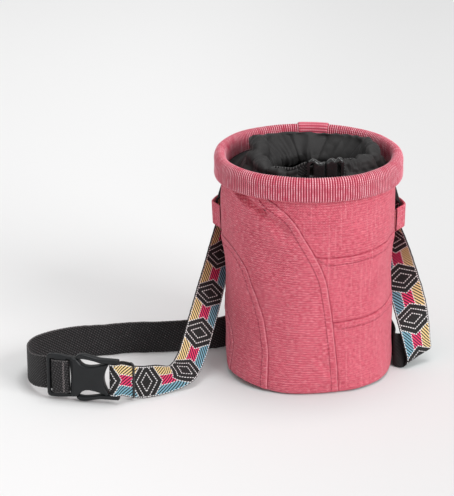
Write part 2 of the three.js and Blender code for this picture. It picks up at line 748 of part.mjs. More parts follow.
// Sleeve: a strip sewn down below the belt and caught under the rim above it.
function addSleeve() {
  const inner = GAP + 0.5 * LOOP_DEPTH + BELT_THICK;
  const outer = inner + SLEEVE_THICK;
  const low = RUN_FOOT - 4 * GAP;
  const high = RIM_FOOT - GAP;
  const sections = Array.from({ length: 11 }, (_, i) => {
    const turn = 90 - SLEEVE_SPAN / 2 + (i * SLEEVE_SPAN) / 10;
    const at = (out, z) => onBag(turn, bodyRadius(z) + out, z);
    return [
      at(GAP + SLEEVE_THICK, low - SLEEVE_HEM),
      at(outer, low),
      at(outer, high),
      at(inner, high),
      at(inner, low),
      at(GAP, low - SLEEVE_HEM),
    ];
  });
  add("belt_sleeve", skin(sections), materials.canvas);
}

// Belt buckle, in its own group: X runs from the socket to the plug, and Y is its thickness.
function addBuckle() {
  const group = new THREE.Group();
  group.position.set(BUCKLE_X * BODY_R, BUCKLE_Y * BODY_R, BUCKLE_LOBES / 2);
  group.rotation.z = BUCKLE_TURN;
  chalkBag.add(group);

  const L = (share) => share * BUCKLE_LENGTH;
  const full = BUCKLE_HEIGHT / 2;
  const lobe = BUCKLE_LOBES / 2;
  const passage = BELT_WIDTH / 2 + 2 * GAP;
  const [barFrom, barTo] = SOCKET_BAR.map(L);
  const slot = BELT_THICK + 3 * GAP;
  const slitEnd = barTo + slot;
  const rectangle = (x0, x1, h) => [
    [x0, -h],
    [x1, -h],
    [x1, h],
    [x0, h],
  ];
  const frame = outline(rectangle(L(-0.48), slitEnd + 2, full));
  const slots = [
    [barFrom - slot, barFrom],
    [barTo, slitEnd],
  ].map(([from, to]) => toSolid(plate(outline(rectangle(from, to, passage)), 2 * PLATE_THICK)));
  const plateHalf = full * 0.73;
  const hollow = Array.from({ length: 9 }, (_, i) => {
    const z = plateHalf * (1 - i / 4);
    return [L(0.36) - L(0.12) * Math.cos((Math.PI / 2) * (z / plateHalf)), z];
  });
  const body = outline([[slitEnd, -plateHalf], ...hollow.reverse(), [slitEnd, plateHalf]]);
  const solid = toSolid(plate(frame, FRAME_THICK)).add(toSolid(plate(body, PLATE_THICK)));
  const socket = slots.reduce((rest, cut) => rest.subtract(cut), solid);
  add("buckle_socket", toGeometry(socket), materials.plastic, group);

  const inner = plateHalf + GAP;
  const rail = passage + GAP;
  const tip = slitEnd + 2 + GAP;
  const arm = (sign) =>
    outline(
      [
        [tip, inner],
        [L(-0.04), inner],
        [L(0.03), inner + 1.9],
        [L(0.18), inner + 1.5],
        [L(0.25), inner],
        [L(0.4), rail],
        [L(0.52), rail],
        [L(0.52), rail + 2.4],
        [L(0.28), rail + 2.4],
        [L(0.2), lobe - 1.2],
        [L(0.1), lobe],
        [L(-0.02), lobe],
        [L(-0.08), lobe - 1.4],
        [tip, inner + 1.2],
      ].map(([x, z]) => [x, sign * z]),
    );
  const bar = new THREE.CylinderGeometry(PLUG_BAR_THICK / 2, PLUG_BAR_THICK / 2, 2 * rail + 2, 12);
  bar.rotateX(Math.PI / 2).translate(PLUG_BAR, 0, 0);
  const plug = toSolid(plate(arm(1), ARM_THICK))
    .add(toSolid(plate(arm(-1), ARM_THICK)))
    .add(toSolid(bar));
  add("buckle_plug", toGeometry(plug), materials.plastic, group);
}

// Elastic ring round the doubled webbing next to the plug.
function addKeeper() {
  const row = LEFT_STRETCH[1];
  const height = row.low * LOOP_FOOT + BELT_WIDTH / 2;
  const middle = new THREE.Vector3(row.x * BODY_R, row.y * BODY_R + WRAP, height);
  const heading = Math.atan2(LEFT_STRETCH[2].y - LEFT_STRETCH[0].y, LEFT_STRETCH[2].x - LEFT_STRETCH[0].x);
  const halfHeight = BELT_WIDTH / 2 + 4 * GAP;
  const halfDepth = WRAP + BELT_THICK / 2 + 3 * GAP;
  const ring = (grow, along) =>
    [
      [-1, -1],
      [1, -1],
      [1, 1],
      [-1, 1],
    ].map(([a, b]) => {
      const across = a * (halfDepth + grow);
      const x = along * Math.cos(heading) - across * Math.sin(heading);
      const y = along * Math.sin(heading) + across * Math.cos(heading);
      return new THREE.Vector3(middle.x + x, middle.y + y, middle.z + b * (halfHeight + grow));
    });
  const corners = [0, 1, 2, 3].map((i) => [
    ring(0, -KEEPER_WIDTH / 2)[i],
    ring(KEEPER_THICK, -KEEPER_WIDTH / 2)[i],
    ring(KEEPER_THICK, KEEPER_WIDTH / 2)[i],
    ring(0, KEEPER_WIDTH / 2)[i],
  ]);
  add("belt_keeper", skin(corners, true), materials.webbing);
}

addPanels();
addBase();
addRim();
addLining();
addCollar();
addCinch();
addSideLoops();
addSleeve();
addPatternedBelt();
addBlackBelt();
addBuckle();
addKeeper();

export default chalkBag;
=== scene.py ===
"""A climbing chalk bag that stands open, with its waist belt buckled and lying round it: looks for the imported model.

Tables are in millimetres in the part's own frame: +Z up, the bag's front faces -Y, and the origin is the centre of
its base on the floor. A turn is in degrees about the bag's axis, from +X towards +Y.
"""

import math

import bpy
import numpy as np
from mathutils import Matrix, Vector


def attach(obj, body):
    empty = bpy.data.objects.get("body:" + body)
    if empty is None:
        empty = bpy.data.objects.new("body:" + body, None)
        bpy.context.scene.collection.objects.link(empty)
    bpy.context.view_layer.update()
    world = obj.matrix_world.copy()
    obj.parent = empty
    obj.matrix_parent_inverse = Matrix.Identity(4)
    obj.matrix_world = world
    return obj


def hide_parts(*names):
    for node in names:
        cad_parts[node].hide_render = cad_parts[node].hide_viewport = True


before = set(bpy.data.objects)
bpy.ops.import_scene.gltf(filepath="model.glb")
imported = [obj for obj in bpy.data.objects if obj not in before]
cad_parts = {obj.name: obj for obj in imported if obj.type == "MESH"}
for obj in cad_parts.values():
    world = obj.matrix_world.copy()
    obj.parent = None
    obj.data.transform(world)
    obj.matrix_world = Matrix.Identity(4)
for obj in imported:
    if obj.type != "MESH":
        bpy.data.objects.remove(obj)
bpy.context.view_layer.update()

MM = 0.001

# Camera. It stands where the photographer's stood, level with nothing on the bag and looking down on it,
# with a long lens, so that the round mouth is a flat oval and the base's near edge curves a little.
lens = bpy.data.cameras.new("camera")
lens.lens = 145.16
lens.sensor_width = 36
lens.clip_end = 20
camera = bpy.data.objects.new("camera", lens)
camera.location = Vector((0, -1355.4, 605.0)) * MM
camera.rotation_euler = (math.radians(90 - 20.888), 0, math.radians(2.557))
bpy.context.scene.collection.objects.link(camera)
bpy.context.scene.camera = camera
bpy.context.scene.view_settings.view_transform = "Standard"


# Floor and light. A pale sheet of paper with painted shade, a little darker to the right and in front, under a broad
# soft light overhead. A key light stands at the right front and a weak one at the left, and the sky is even.
class Value:
    """A value in a finish. Arithmetic on it adds the nodes that work it out."""

    def __init__(self, finish, socket):
        self.finish = finish
        self.socket = socket

    def math(self, operation, *others):
        return self.finish.node("ShaderNodeMath", {"operation": operation}, [self, *others])

    def __add__(self, other):
        return self.math("ADD", other)

    def __sub__(self, other):
        return self.math("SUBTRACT", other)

    def __mul__(self, other):
        return self.math("MULTIPLY", other)

    def __truediv__(self, other):
        return self.math("DIVIDE", other)

    def __rsub__(self, other):
        return self.finish.node("ShaderNodeMath", {"operation": "SUBTRACT"}, [other, self])

    __radd__ = __add__
    __rmul__ = __mul__


class Finish:
    """A material built round one Principled shader, whose even qualities are set on the shader itself."""

    def __init__(self, name, qualities):
        self.material = bpy.data.materials.new(name)
        self.material.use_nodes = True
        self.tree = self.material.node_tree
        self.shader = self.tree.nodes["Principled BSDF"]
        for socket, value in qualities.items():
            self.feed(self.shader.inputs[socket], value)

    def feed(self, socket, value):
        if isinstance(value, Value):
            self.tree.links.new(value.socket, socket)
        elif isinstance(value, tuple) and len(value) == 3 and socket.type == "RGBA":
            socket.default_value = (*value, 1)
        else:
            socket.default_value = value

    def node(self, kind, settings=None, inputs=(), out=0):
        """A node with its settings made first, and then the values or links of its sockets."""
        made = self.tree.nodes.new(kind)
        for name, value in (settings or {}).items():
            setattr(made, name, value)
        for key, value in inputs.items() if isinstance(inputs, dict) else enumerate(inputs):
            self.feed(made.inputs[key], value)
        return Value(self, made.outputs[out])

    def mix(self, first, second, share):
        """Colour between two colours."""
        return self.node("ShaderNodeMix", {"data_type": "RGBA"}, {0: share, 6: first, 7: second}, out=2)

    def field(self, name):
        """A number that the mesh carries at each point."""
        return self.node("ShaderNodeAttribute", {"attribute_name": name}, out="Fac")

    def parts(self, vector):
        """The first two parts of a vector."""
        split = self.node("ShaderNodeSeparateXYZ", inputs=[vector]).socket.node
        return [Value(self, split.outputs[part]) for part in "XY"]

    def cloth(self):
        """Distance along and across the cloth, in millimetres."""
        return self.parts(self.node("ShaderNodeUVMap", {"uv_map": "cloth"}))

    def place(self):
        """Place in the object's own space, in metres."""
        return self.node("ShaderNodeTexCoord", out="Object")

    def noise(self, x, y, detail=2.0, z=0.0):
        at = self.node("ShaderNodeCombineXYZ", inputs=[x, y, z])
        return self.node("ShaderNodeTexNoise", inputs={"Vector": at, "Scale": 1.0, "Detail": detail})

    def grain(self, scale, detail=2.0):
        """Fine mottle through the whole body."""
        return self.node("ShaderNodeTexNoise", inputs={"Vector": self.place(), "Scale": scale, "Detail": detail})

    def waves(self, value, pitch, shift=0.0):
        """From 0 to 1 and back again once every pitch."""
        return (value * (2 * math.pi / pitch) + shift).math("SINE") * 0.5 + 0.5

    def step(self, value, low, high):
        """0 below low, 1 above high, and smooth between."""
        settings = {"interpolation_type": "SMOOTHSTEP"}
        return self.node("ShaderNodeMapRange", settings, {0: value, 1: low, 2: high})

    def raised(self, height, depth, under=None):
        """Bump of a height from 0 to 1 over a depth in millimetres."""
        inputs = {"Height": height, "Distance": depth * MM}
        if under:
            inputs["Normal"] = under
        bump = self.node("ShaderNodeBump", inputs=inputs)
        self.feed(self.shader.inputs["Normal"], bump)
        return bump

    def colour(self, value):
        self.feed(self.shader.inputs["Base Color"], value)


paper = Finish("paper", {"Roughness": 0.9, "Specular IOR Level": 0.2})
paper_x, paper_y = paper.parts(paper.place())
# Painted shade: the paper's colour darkens towards the right and the front, as the light falls off there.
shade_to_right = paper.step(paper_x, -0.22, 0.16)
near_paper = paper.mix((0.83, 0.83, 0.83), (0.71, 0.71, 0.71), shade_to_right)
far_paper = paper.mix((0.90, 0.90, 0.90), (0.78, 0.78, 0.78), shade_to_right)
paper_painted_falloff = paper.mix(near_paper, far_paper, paper.step(paper_y, -0.25, 0.95))
# Beside the bag the paper is a shade cooler, which makes up for the light that the red cloth throws on it.
from_bag = paper.node("ShaderNodeVectorMath", {"operation": "LENGTH"}, [paper.place()], out="Value")
beside_bag = 1.0 - paper.step(from_bag, 0.05, 0.14)
cooler = paper.node("ShaderNodeMix", {"data_type": "RGBA", "blend_type": "MULTIPLY"},
                    {0: beside_bag, 6: paper_painted_falloff, 7: (0.94, 1.0, 1.0)}, out=2)
paper.colour(cooler)
paper.raised(paper.grain(900.0), 0.02)

paper_sheet = bpy.data.meshes.new("floor")
paper_sheet.from_pydata([(-4, -3, 0), (4, -3, 0), (4, 5, 0), (-4, 5, 0)], [], [(0, 1, 2, 3)])
paper_sheet.materials.append(paper.material)
floor = bpy.data.objects.new("floor", paper_sheet)
floor.location.z = -0.0003
bpy.context.scene.collection.objects.link(floor)

sky = bpy.data.worlds.new("sky")
sky.use_nodes = True
sky.node_tree.nodes["Background"].inputs["Color"].default_value = (1, 1, 1, 1)
sky.node_tree.nodes["Background"].inputs["Strength"].default_value = 0.515
bpy.context.scene.world = sky
for name, at, size, power in [
    ("key_light", (1.85, -1.45, 1.35), 1.3, 44.0),
    ("fill_light", (-1.4, -1.7, 0.55), 1.0, 3.4),
    ("top_light", (0.3, 0.1, 3.2), 1.5, 42.0),
]:
    lamp = bpy.data.lights.new(name, "AREA")
    lamp.size = size
    lamp.energy = power
    light = bpy.data.objects.new(name, lamp)
    light.location = at
    light.rotation_euler = (Vector((0, 0, 0.07)) - Vector(at)).to_track_quat("-Z", "Y").to_euler()
    bpy.context.scene.collection.objects.link(light)


# Canvas wall. Plain-woven cotton with pale slubs, in panels that sweep round the bag. Each seam is turned to its
# left or lower side and topstitched there, so that side stands up as a rolled edge and the stitches pull a groove.
BODY_R = 61.5
BODY_TOP = 152.7
RIM_TOP = 163
RIM_LEAN = 2.7
PER_DEGREE = math.radians(BODY_R)
BODY_PROFILE = [(0, 57.9), (1.0, 59.1), (3.0, 59.8), (16.8, 60.5), (38.2, 60.8), (68.7, 60.2), (87, 60.6),
                (102.3, 61.7), (120, 62.3), (137, 62.2), (142, 61.5), (BODY_TOP, 61.3)]
FRONT_SEAM = [(-123, 157.3), (-119.7, 146.9), (-110.9, 141.1), (-102.7, 134.4), (-96.9, 127), (-92.9, 119.4),
              (-87, 108.3), (-81.1, 95), (-77.5, 83.2), (-75.5, 70.2), (-73.8, 57.4), (-72.2, 39.5), (-70.5, 21.7),
              (-69.6, 6.1), (-69.5, -4.6)]
UPPER_TUCK = [(-86, 104.1), (-66, 102.9), (-41, 103.8), (-15, 104.1), (90, 103.8), (182, 101.1), (201, 101.4),
              (213, 97.3), (222.3, 89.5), (228, 77.3), (234, 64.9), (238.4, 53.6), (240.7, 42.5), (242.1, 30.8),
              (242.6, 17.4), (243, 5.5), (243, -4.6)]
LOWER_TUCK = [(-75, 53.8), (-57, 53.9), (-41, 54.1), (-17, 55.1), (90, 55), (170, 54.2), (186, 48.6), (195.3, 42.6),
              (203.3, 34.8), (206.5, 26.6), (207.2, 17.1), (206, 5.3), (206, -4.6)]
# How far the bag's foot slumps out at each turn, and how far its hem stands off the floor there.
FOOT = [(20, 0), (100, 0), (170, 0), (192, 1.2), (210, 3.9), (225, 5.2), (240, 4.8), (256, 4.3), (272, 1.8),
        (287, 0.8), (303, 2.8), (325, 3.2), (348, 1.2)]
LIFT = [(20, 0), (100, 0), (170, 0), (192, 0.4), (207, 3.0), (222, 3.6), (237, 2.4), (252, 0.5), (272, 0),
        (290, 0), (305, 0.9), (325, 1.2), (345, 0.2)]
SEAM_STAND = 0.5  # how high the turned side of a seam stands
STITCH_LINE = 5.0  # from the seam to its topstitching
STITCH_PITCH = 2.9


def smooth(points, per_span):
    """Points on the curve through a row of points, several to each span."""
    p = np.array(points, float)
    ends = np.vstack([2 * p[0] - p[1], p, 2 * p[-1] - p[-2]])
    made = []
    for k in range(len(p) - 1):
        a, b, c, d = ends[k : k + 4]
        s0, s1, s2 = (max(np.linalg.norm(e), 1e-6) ** 0.5 for e in (b - a, c - b, d - c))
        start = ((b - a) / s0 - (c - a) / (s0 + s1) + (c - b) / s1) * s1
        end = ((c - b) / s1 - (d - b) / (s1 + s2) + (d - c) / s2) * s1
        for t in np.arange(per_span) / per_span:
            made.append(b + start * t + (3 * (c - b) - 2 * start - end) * t**2 + (2 * (b - c) + start + end) * t**3)
    return np.array([*made, p[-1]])


def fade(value, low, high):
    """0 at low, 1 at high, and smooth between."""
    t = np.clip((value - low) / (high - low), 0, 1)
    return t * t * (3 - 2 * t)


def at_turn(table, turns):
    """Values at turns from a table of turn and value that closes on itself."""
    return np.interp(turns % 360, *np.array(table).T, period=360)


def on_bag(turn, radius, z):
    """Points at turns about the bag's axis, which leans a little to the left at its rim."""
    a = np.radians(turn)
    return np.stack([radius * np.cos(a) - RIM_LEAN * z / RIM_TOP, radius * np.sin(a), z + 0 * a], -1)


def lofted(name, points, uv, finish, closed=False, fields=None):
    """A mesh over a grid of points in millimetres. uv has one column more than a closed grid."""
    rows, cols = points.shape[:2]
    starts = np.arange(rows - 1), np.arange(cols if closed else cols - 1)
    i, j = (a.ravel() for a in np.meshgrid(*starts, indexing="ij"))
    k = (j + 1) % cols
    quads = np.stack([i * cols + j, i * cols + k, (i + 1) * cols + k, (i + 1) * cols + j], 1)
    corners = np.stack([uv[i, j], uv[i, j + 1], uv[i + 1, j + 1], uv[i + 1, j]], 1)
    mesh = bpy.data.meshes.new(name)
    mesh.from_pydata((points.reshape(-1, 3) * MM).tolist(), [], quads.tolist())
    mesh.uv_layers.new(name="cloth").data.foreach_set("uv", corners.astype(np.float32).ravel())
    for field, values in (fields or {}).items():
        mesh.attributes.new(field, "FLOAT", "POINT").data.foreach_set("value", values.astype(np.float32).ravel())
    mesh.shade_smooth()
    mesh.materials.append(finish.material)
    made = bpy.data.objects.new(name, mesh)
    bpy.context.scene.collection.objects.link(made)
    return made


def laid_out(line, round_again=0):
    """A seam's curve on the unrolled wall."""
    return smooth([((turn + round_again) * PER_DEGREE, z) for turn, z in line], 6)


def off_seam(x, z, line):
    """Distance from a seam, positive on its right or upper side, and the run along it."""
    off = np.full(x.shape, 1e6)
    run = np.zeros(x.shape)
    before = 0.0
    for (ax, az), (bx, bz) in zip(line, line[1:]):
        dx, dz = bx - ax, bz - az
        length = math.hypot(dx, dz)
        t = np.clip(((x - ax) * dx + (z - az) * dz) / length**2, 0, 1)
        far = np.hypot(x - ax - t * dx, z - az - t * dz)
        side = np.where(dx * (z - az) - dz * (x - ax) < 0, -1, 1)
        nearer = far < np.abs(off)
        off = np.where(nearer, side * far, off)
        run = np.where(nearer, before + t * length, run)
        before += length
    return off, run


def seam_relief(off, run):
    """Height of the cloth beside a seam: the plies turned under it, the stitched groove, and puckers along it."""
    turned = np.clip(-off, 0, None)
    stand = SEAM_STAND * fade(turned, 0, 0.8) * (1 - 0.6 * fade(turned, 4.6, 8)) * (1 - fade(turned, 9, 20))
    groove = 0.22 * np.exp(-(((turned - STITCH_LINE) / 0.8) ** 2))
    puckers = 0.26 * np.sin(run * 0.83 + 1.7 * np.sin(run * 0.19)) * np.exp(-(((turned - 5.5) / 4) ** 2))
    pulled_in = 0.45 * np.exp(-np.clip(off, 0, None) / 1.3)
    return np.where(off < 0, stand - groove + puckers, -pulled_in)


# Each seam, and whether only its part to the right of the front seam is meant.
SEAMS = [(laid_out(FRONT_SEAM, 360), False), (laid_out(UPPER_TUCK), False), (laid_out(UPPER_TUCK, 360), True),
         (laid_out(LOWER_TUCK), False), (laid_out(LOWER_TUCK, 360), True)]


def wall_relief(x, z):
    """Relief of the whole wall, with the distance from the seam beside each place, the run along it, and the distance
    from the front seam."""
    relief = np.zeros(x.shape)
    nearest = np.full(x.shape, 99.0)
    along_it = np.zeros(x.shape)
    front, _ = off_seam(x, z, SEAMS[0][0])
    for line, right_only in SEAMS:
        off, run = off_seam(x, z, line)
        here = (front > 0) if right_only else np.ones(x.shape, bool)
        relief += np.where(here, seam_relief(off, run), 0)
        nearer = here & (np.abs(off) < np.abs(nearest))
        nearest = np.where(nearer, off, nearest)
        along_it = np.where(nearer, run, along_it)
    return relief, nearest, along_it, front


# Where the soft cloth buckles: two ends of a fold by turn and height, its half width, and how far it stands out.
FOLDS = [((201, 149), (230, 135.5), 2.3, 2.8), ((210, 148), (239, 134.5), 3.0, -3.2),
         ((239, 134.5), (253, 124), 3.6, -2.2), ((226, 146), (250, 134), 2.6, 1.6), ((188, 138), (199, 120), 4, -1.8),
         ((246, 127), (255, 121), 5, -1.2), ((184, 128), (190, 96), 9, 1.0), ((262, 70), (268, 22), 11, 0.8),
         ((247, 100), (262, 60), 9, -0.8), ((255, 132), (265, 112), 6, -0.6), ((318, 95), (322, 66), 12, 0.7),
         ((300, 45), (310, 10), 9, -0.6), ((345, 100), (349, 62), 9, -1.2), ((300, 130), (330, 124), 6, -0.8),
         ((280, 22), (290, 8), 3.5, -1.0), ((272, 26), (284, 12), 3.5, 0.8), ((120, 90), (135, 30), 10, -0.9),
         ((60, 60), (85, 20), 11, -0.9), ((150, 60), (172, 12), 8, 0.9), ((95, 96), (100, 70), 10, 0.6),
         ((20, 120), (36, 80), 9, -0.9), ((30, 40), (52, 14), 9, 0.8)]


def wall_radius(turn, z):
    """Radius of the wall with its folds, before the seams' relief."""
    heights, radii = np.array(smooth(BODY_PROFILE, 8)).T
    radius = np.interp(z, heights, radii)
    x = turn * PER_DEGREE
    for (t0, z0), (t1, z1), wide, out in FOLDS:
        off, _ = off_seam(x, z, [(t0 * PER_DEGREE, z0), (t1 * PER_DEGREE, z1)])
        radius = radius + out * np.exp(-((off / wide) ** 2)) * fade(z, 1, 9)
    broad = 0.32 * np.sin(x * 0.115 + z * 0.05 + 1.3) * np.sin(z * 0.075 + x * 0.021)
    small = 0.20 * np.sin(x * 0.29 - z * 0.11) * np.sin(z * 0.17 + x * 0.05)
    hem = 0.8 * fade(turn, 268, 282) * (1 - fade(turn, 318, 330)) * np.exp(-(((z - 5.2) / 1.1) ** 2))
    return radius + (broad + small) * fade(z, 3, 20) + at_turn(FOOT, turn) * (1 - fade(z, 2, 30)) - hem


AROUND, UP = 480, 196
wall_rows = np.concatenate([[0, 0.15, 0.5, 1.1, 2.0], np.linspace(3, BODY_TOP, UP)])
turns, heights = np.meshgrid(np.linspace(90, 450, AROUND + 1), wall_rows)
heights = heights + at_turn(LIFT, turns) * (1 - fade(heights, 0, 14))
relief, seam_off, seam_run, front_off = wall_relief(turns * PER_DEGREE, heights)
wall_radii = wall_radius(turns, heights) + relief * fade(heights, -1, 2)
wall_points = on_bag(turns, wall_radii, heights)[:, :-1]
wall_uv = np.stack([turns * PER_DEGREE, heights], -1)

canvas = Finish("canvas", {"Roughness": 0.85, "Specular IOR Level": 0.25, "Sheen Weight": 0.08,
                           "Sheen Roughness": 0.5})
YARN = 0.88
PALE_END_PITCH = 4.3  # between the pale warp ends of the right panels
PALE_END_DOT = 2.1


def woven(finish, deep, plain, pale):
    """Colours and bumps a plain weave: yarns that dip under each other, thick pale slubs, and turned edges with a
    painted highlight on their lips and painted shade in their creases and stitched grooves. Slubs lie along the weft
    left of the front seam, and single pale ends stand upright to the right of it."""
    u, v = finish.cloth()
    uneven = finish.noise(u * 0.8, v * 0.8, 2.0) * 2.6
    weft_row = (v * (math.pi / YARN) + uneven).math("SINE")
    warp_row = (u * (math.pi / YARN) + uneven).math("SINE")
    weave = weft_row * 0.12 + weft_row * warp_row * 0.22 + 0.5
    right = finish.step(finish.field("from_front_seam"), -1, 1)
    weft_slubs = finish.noise(u * 0.30, v * 1.35, 2.0)
    warp_slubs = finish.noise(u * 1.35, v * 0.34, 2.0, 11.0)
    slubs = weft_slubs * (0.56 - right * 0.16) + warp_slubs * (0.44 + right * 0.16)
    picks = finish.step(finish.noise(u * 0.11, v * 1.5, 1.0), 0.60, 0.72) * (1.0 - right * 0.8)
    column = (u * (2 * math.pi / PALE_END_PITCH) + finish.noise(u * 0.2, v * 0.01) * 5.0).math("SINE")
    here_and_there = finish.step(finish.noise(u * 0.35, v * 0.03, 1.0, 7.0), 0.42, 0.60)
    pale_ends = finish.step(column, 0.80, 0.97) * here_and_there * finish.waves(v, PALE_END_DOT, uneven) * (
        0.1 + right * 0.9)
    slow = finish.noise(u * 0.05, v * 0.05, 2.0)
    tone = finish.mix(deep, plain, finish.step(weave * 0.30 + slubs * 0.70 + slow * 0.1, 0.42, 0.63))
    lit_yarn = finish.step(weave * 0.3 + finish.noise(u * 0.35, v * 1.2, 1.0, 3.0) * 0.7, 0.50, 0.66)
    tone = finish.mix(tone, pale, lit_yarn * (0.42 - right * 0.12) + picks * 0.20)
    tone = finish.mix(tone, pale, pale_ends * 0.40)

    off = finish.field("from_seam")
    # Painted highlight along the lip of each turned edge, where it faces the light.
    lip_highlight = finish.step(off, -1.1, -0.5) * (1.0 - finish.step(off, -0.25, 0.05))
    shown = finish.field("lip_highlight_shows")
    tone = finish.mix(tone, pale, lip_highlight * shown * slubs * 0.5)
    # Painted shade in the stitched groove, in dashes where each stitch pulls the cloth down.
    dashes = finish.step((finish.field("seam_run") * (2 * math.pi / STITCH_PITCH)).math("SINE"), -0.55, -0.2)
    painted_groove_shade = finish.step(off, -STITCH_LINE - 0.55, -STITCH_LINE - 0.15) * (
        1.0 - finish.step(off, 0.15 - STITCH_LINE, 0.55 - STITCH_LINE))
    tone = finish.mix(tone, (0.20, 0.008, 0.026), painted_groove_shade * (0.05 + dashes * 0.85))
    bites = finish.noise(u * 0.42, v * 0.42, 1.0, 5.0)
    crease = finish.step(off, -0.3, 0.15) * (1.0 - finish.step(off, 0.45, 1.1))
    shade = crease * (0.35 + finish.step(bites, 0.35, 0.6) * 0.5) * (1.0 - shown * 0.15)
    finish.colour(finish.mix(tone, (0.30, 0.006, 0.034), shade))
    turned_edge = finish.raised(finish.step(off, 0.1, -0.5) * 0.8 - crease * 0.5, 0.35)
    finish.raised(weave * 0.5 + slubs * 1.1 + pale_ends * 0.5, 0.30, turned_edge)


woven(canvas, (0.43, 0.048, 0.080), (0.69, 0.130, 0.182), (0.91, 0.45, 0.50))
# The fold's pale lip is a painted highlight, and it shows only on the seams left of the front one, whose lips face the
# light.
left_of_front = np.minimum(1 - fade(front_off, 0.6, 2.2), fade(turns, 175, 195))
canvas_wall = lofted("canvas_wall", wall_points, wall_uv, canvas, True, {
    "from_seam": seam_off[:, :-1], "seam_run": seam_run[:, :-1], "from_front_seam": front_off[:, :-1],
    "lip_highlight_shows": left_of_front[:, :-1]})
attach(canvas_wall, "root")
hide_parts("panel_upper", "panel_middle", "panel_lower")


# Topstitching. Spun thread a shade deeper than the cloth, in short stitches that sink into the groove beside each
# seam. They are left out where a seam runs on under another panel.
thread = Finish("thread", {"Roughness": 0.7, "Specular IOR Level": 0.3})
twist_u, twist_v = thread.cloth()
twisted = (twist_u * 9.0 + twist_v * 4.0).math("SINE") * 0.5 + 0.5
thread.colour(thread.mix((0.30, 0.03, 0.06), (0.52, 0.09, 0.14), twisted))
thread.raised(twisted, 0.05)


STITCH_SECTIONS = [(0, -0.25, 0.6), (0.18, 0.04, 0.95), (0.5, 0.14, 1.0), (0.82, 0.04, 0.95), (1, -0.25, 0.6)]
STITCH_SIDES = 6


def stitched(name, stitches, finish, thick=0.42):
    """Short threads, each from one point to another on a cloth, a little sunk at both ends."""
    points, faces, uvs = [], [], []
    for start, end, out in stitches:
        start, end, out = (np.array(a, float) for a in (start, end, out))
        along = end - start
        length = np.linalg.norm(along)
        side = np.cross(along / length, out)
        first = len(points)
        for share, lift, size in STITCH_SECTIONS:
            middle = start + along * share + out * lift
            for k in range(STITCH_SIDES):
                a = 2 * math.pi * k / STITCH_SIDES
                points.append(middle + (side * math.cos(a) + out * math.sin(a)) * thick / 2 * size)
                uvs.append((share * length, k * thick / 2))
        for row in range(len(STITCH_SECTIONS) - 1):
            for k in range(STITCH_SIDES):
                a, b = (first + row * STITCH_SIDES + corner % STITCH_SIDES for corner in (k, k + 1))
                faces.append((a, b, b + STITCH_SIDES, a + STITCH_SIDES))
    mesh = bpy.data.meshes.new(name)
    mesh.from_pydata((np.array(points) * MM).tolist(), [], faces)
    laid = mesh.uv_layers.new(name="cloth")
    laid.data.foreach_set("uv", [c for face in faces for corner in face for c in uvs[corner]])
    mesh.shade_smooth()
    mesh.materials.append(finish.material)
    made = bpy.data.objects.new(name, mesh)
    bpy.context.scene.collection.objects.link(made)
    return made


def wall_point(x, z):
    """Points on the finished wall at places of the unrolled cloth."""
    x, z = np.array(x, float), np.array(z, float)
    return on_bag(x / PER_DEGREE, wall_radius(x / PER_DEGREE, z) + wall_relief(x, z)[0] * fade(z, -1, 2), z)


def outwards(line):
    """Directions at right angles to a line, on its right."""
    ahead = np.gradient(line, axis=0)
    return np.stack([ahead[:, 1], -ahead[:, 0]], 1) / np.linalg.norm(ahead, axis=1)[:, None]


def run_along(line):
    """Run from the start of a line to each of its points."""
    return np.concatenate([[0], np.cumsum(np.linalg.norm(np.diff(line, axis=0), axis=1))])


STITCHED_SHARE = 0.72  # of each stitch's pitch, the rest being under the cloth
STITCHED_HEIGHTS = (3, 143)
wall_stitches = []
for line, right_only in SEAMS:
    run = run_along(line)
    bites = np.arange(2, run[-1], STITCH_PITCH)
    at = np.stack([np.interp(bites, run, line[:, 0]), np.interp(bites, run, line[:, 1])], 1)
    ahead = np.gradient(at, axis=0)
    ahead /= np.linalg.norm(ahead, axis=1)[:, None]
    sewn = at + outwards(at) * STITCH_LINE
    for a, b in zip(sewn, sewn + ahead * STITCH_PITCH * STITCHED_SHARE):
        turn_there = a[0] / PER_DEGREE
        out = (math.cos(math.radians(turn_there)), math.sin(math.radians(turn_there)), 0)
        low, high = STITCHED_HEIGHTS
        if not (low < a[1] < high and low < b[1] < high and 90 < turn_there < 450):
            continue
        if right_only and off_seam(a[:1], a[1:], SEAMS[0][0])[0][0] < 1:
            continue
        start, end = wall_point([a[0], b[0]], [a[1], b[1]])
        wall_stitches.append((start, end, out))
topstitching = stitched("topstitching", wall_stitches, thread)
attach(topstitching, "root")


# Base. A round of the same canvas, sewn in with the wall's foot turned under it, so its edge is a soft ring on the
# floor and its middle stands a hair above.
BASE_R = 57.6
base_r = np.array([BASE_R, 57.2, 56.6, 55.5, 53.5, 50, 42, 30, 15, 0.5])
base_z = np.array([0.9, 0.35, 0.12, 0.2, 0.5, 0.6, 0.55, 0.5, 0.5, 0.5])
base_turns, base_radii = np.meshgrid(np.linspace(0, 360, 145), base_r)
base_radii = base_radii + at_turn(FOOT, base_turns) * (base_radii / BASE_R) ** 3
base_heights = base_z[:, None] + at_turn(LIFT, base_turns) * (base_radii / 61) ** 8
base_points = on_bag(base_turns, base_radii, base_heights)
base_uv = base_points[..., :2] + 300  # from another place of the cloth than the wall
NO_SEAM = 30.0  # a distance at which no seam shows
base_cloth = lofted("base_cloth", base_points[:, :-1], base_uv, canvas, True,
                    {"from_seam": np.full(base_uv[:, :-1, 0].shape, NO_SEAM),
                     "from_front_seam": np.full(base_uv[:, :-1, 0].shape, -9.0)})
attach(base_cloth, "root")
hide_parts("base_panel")
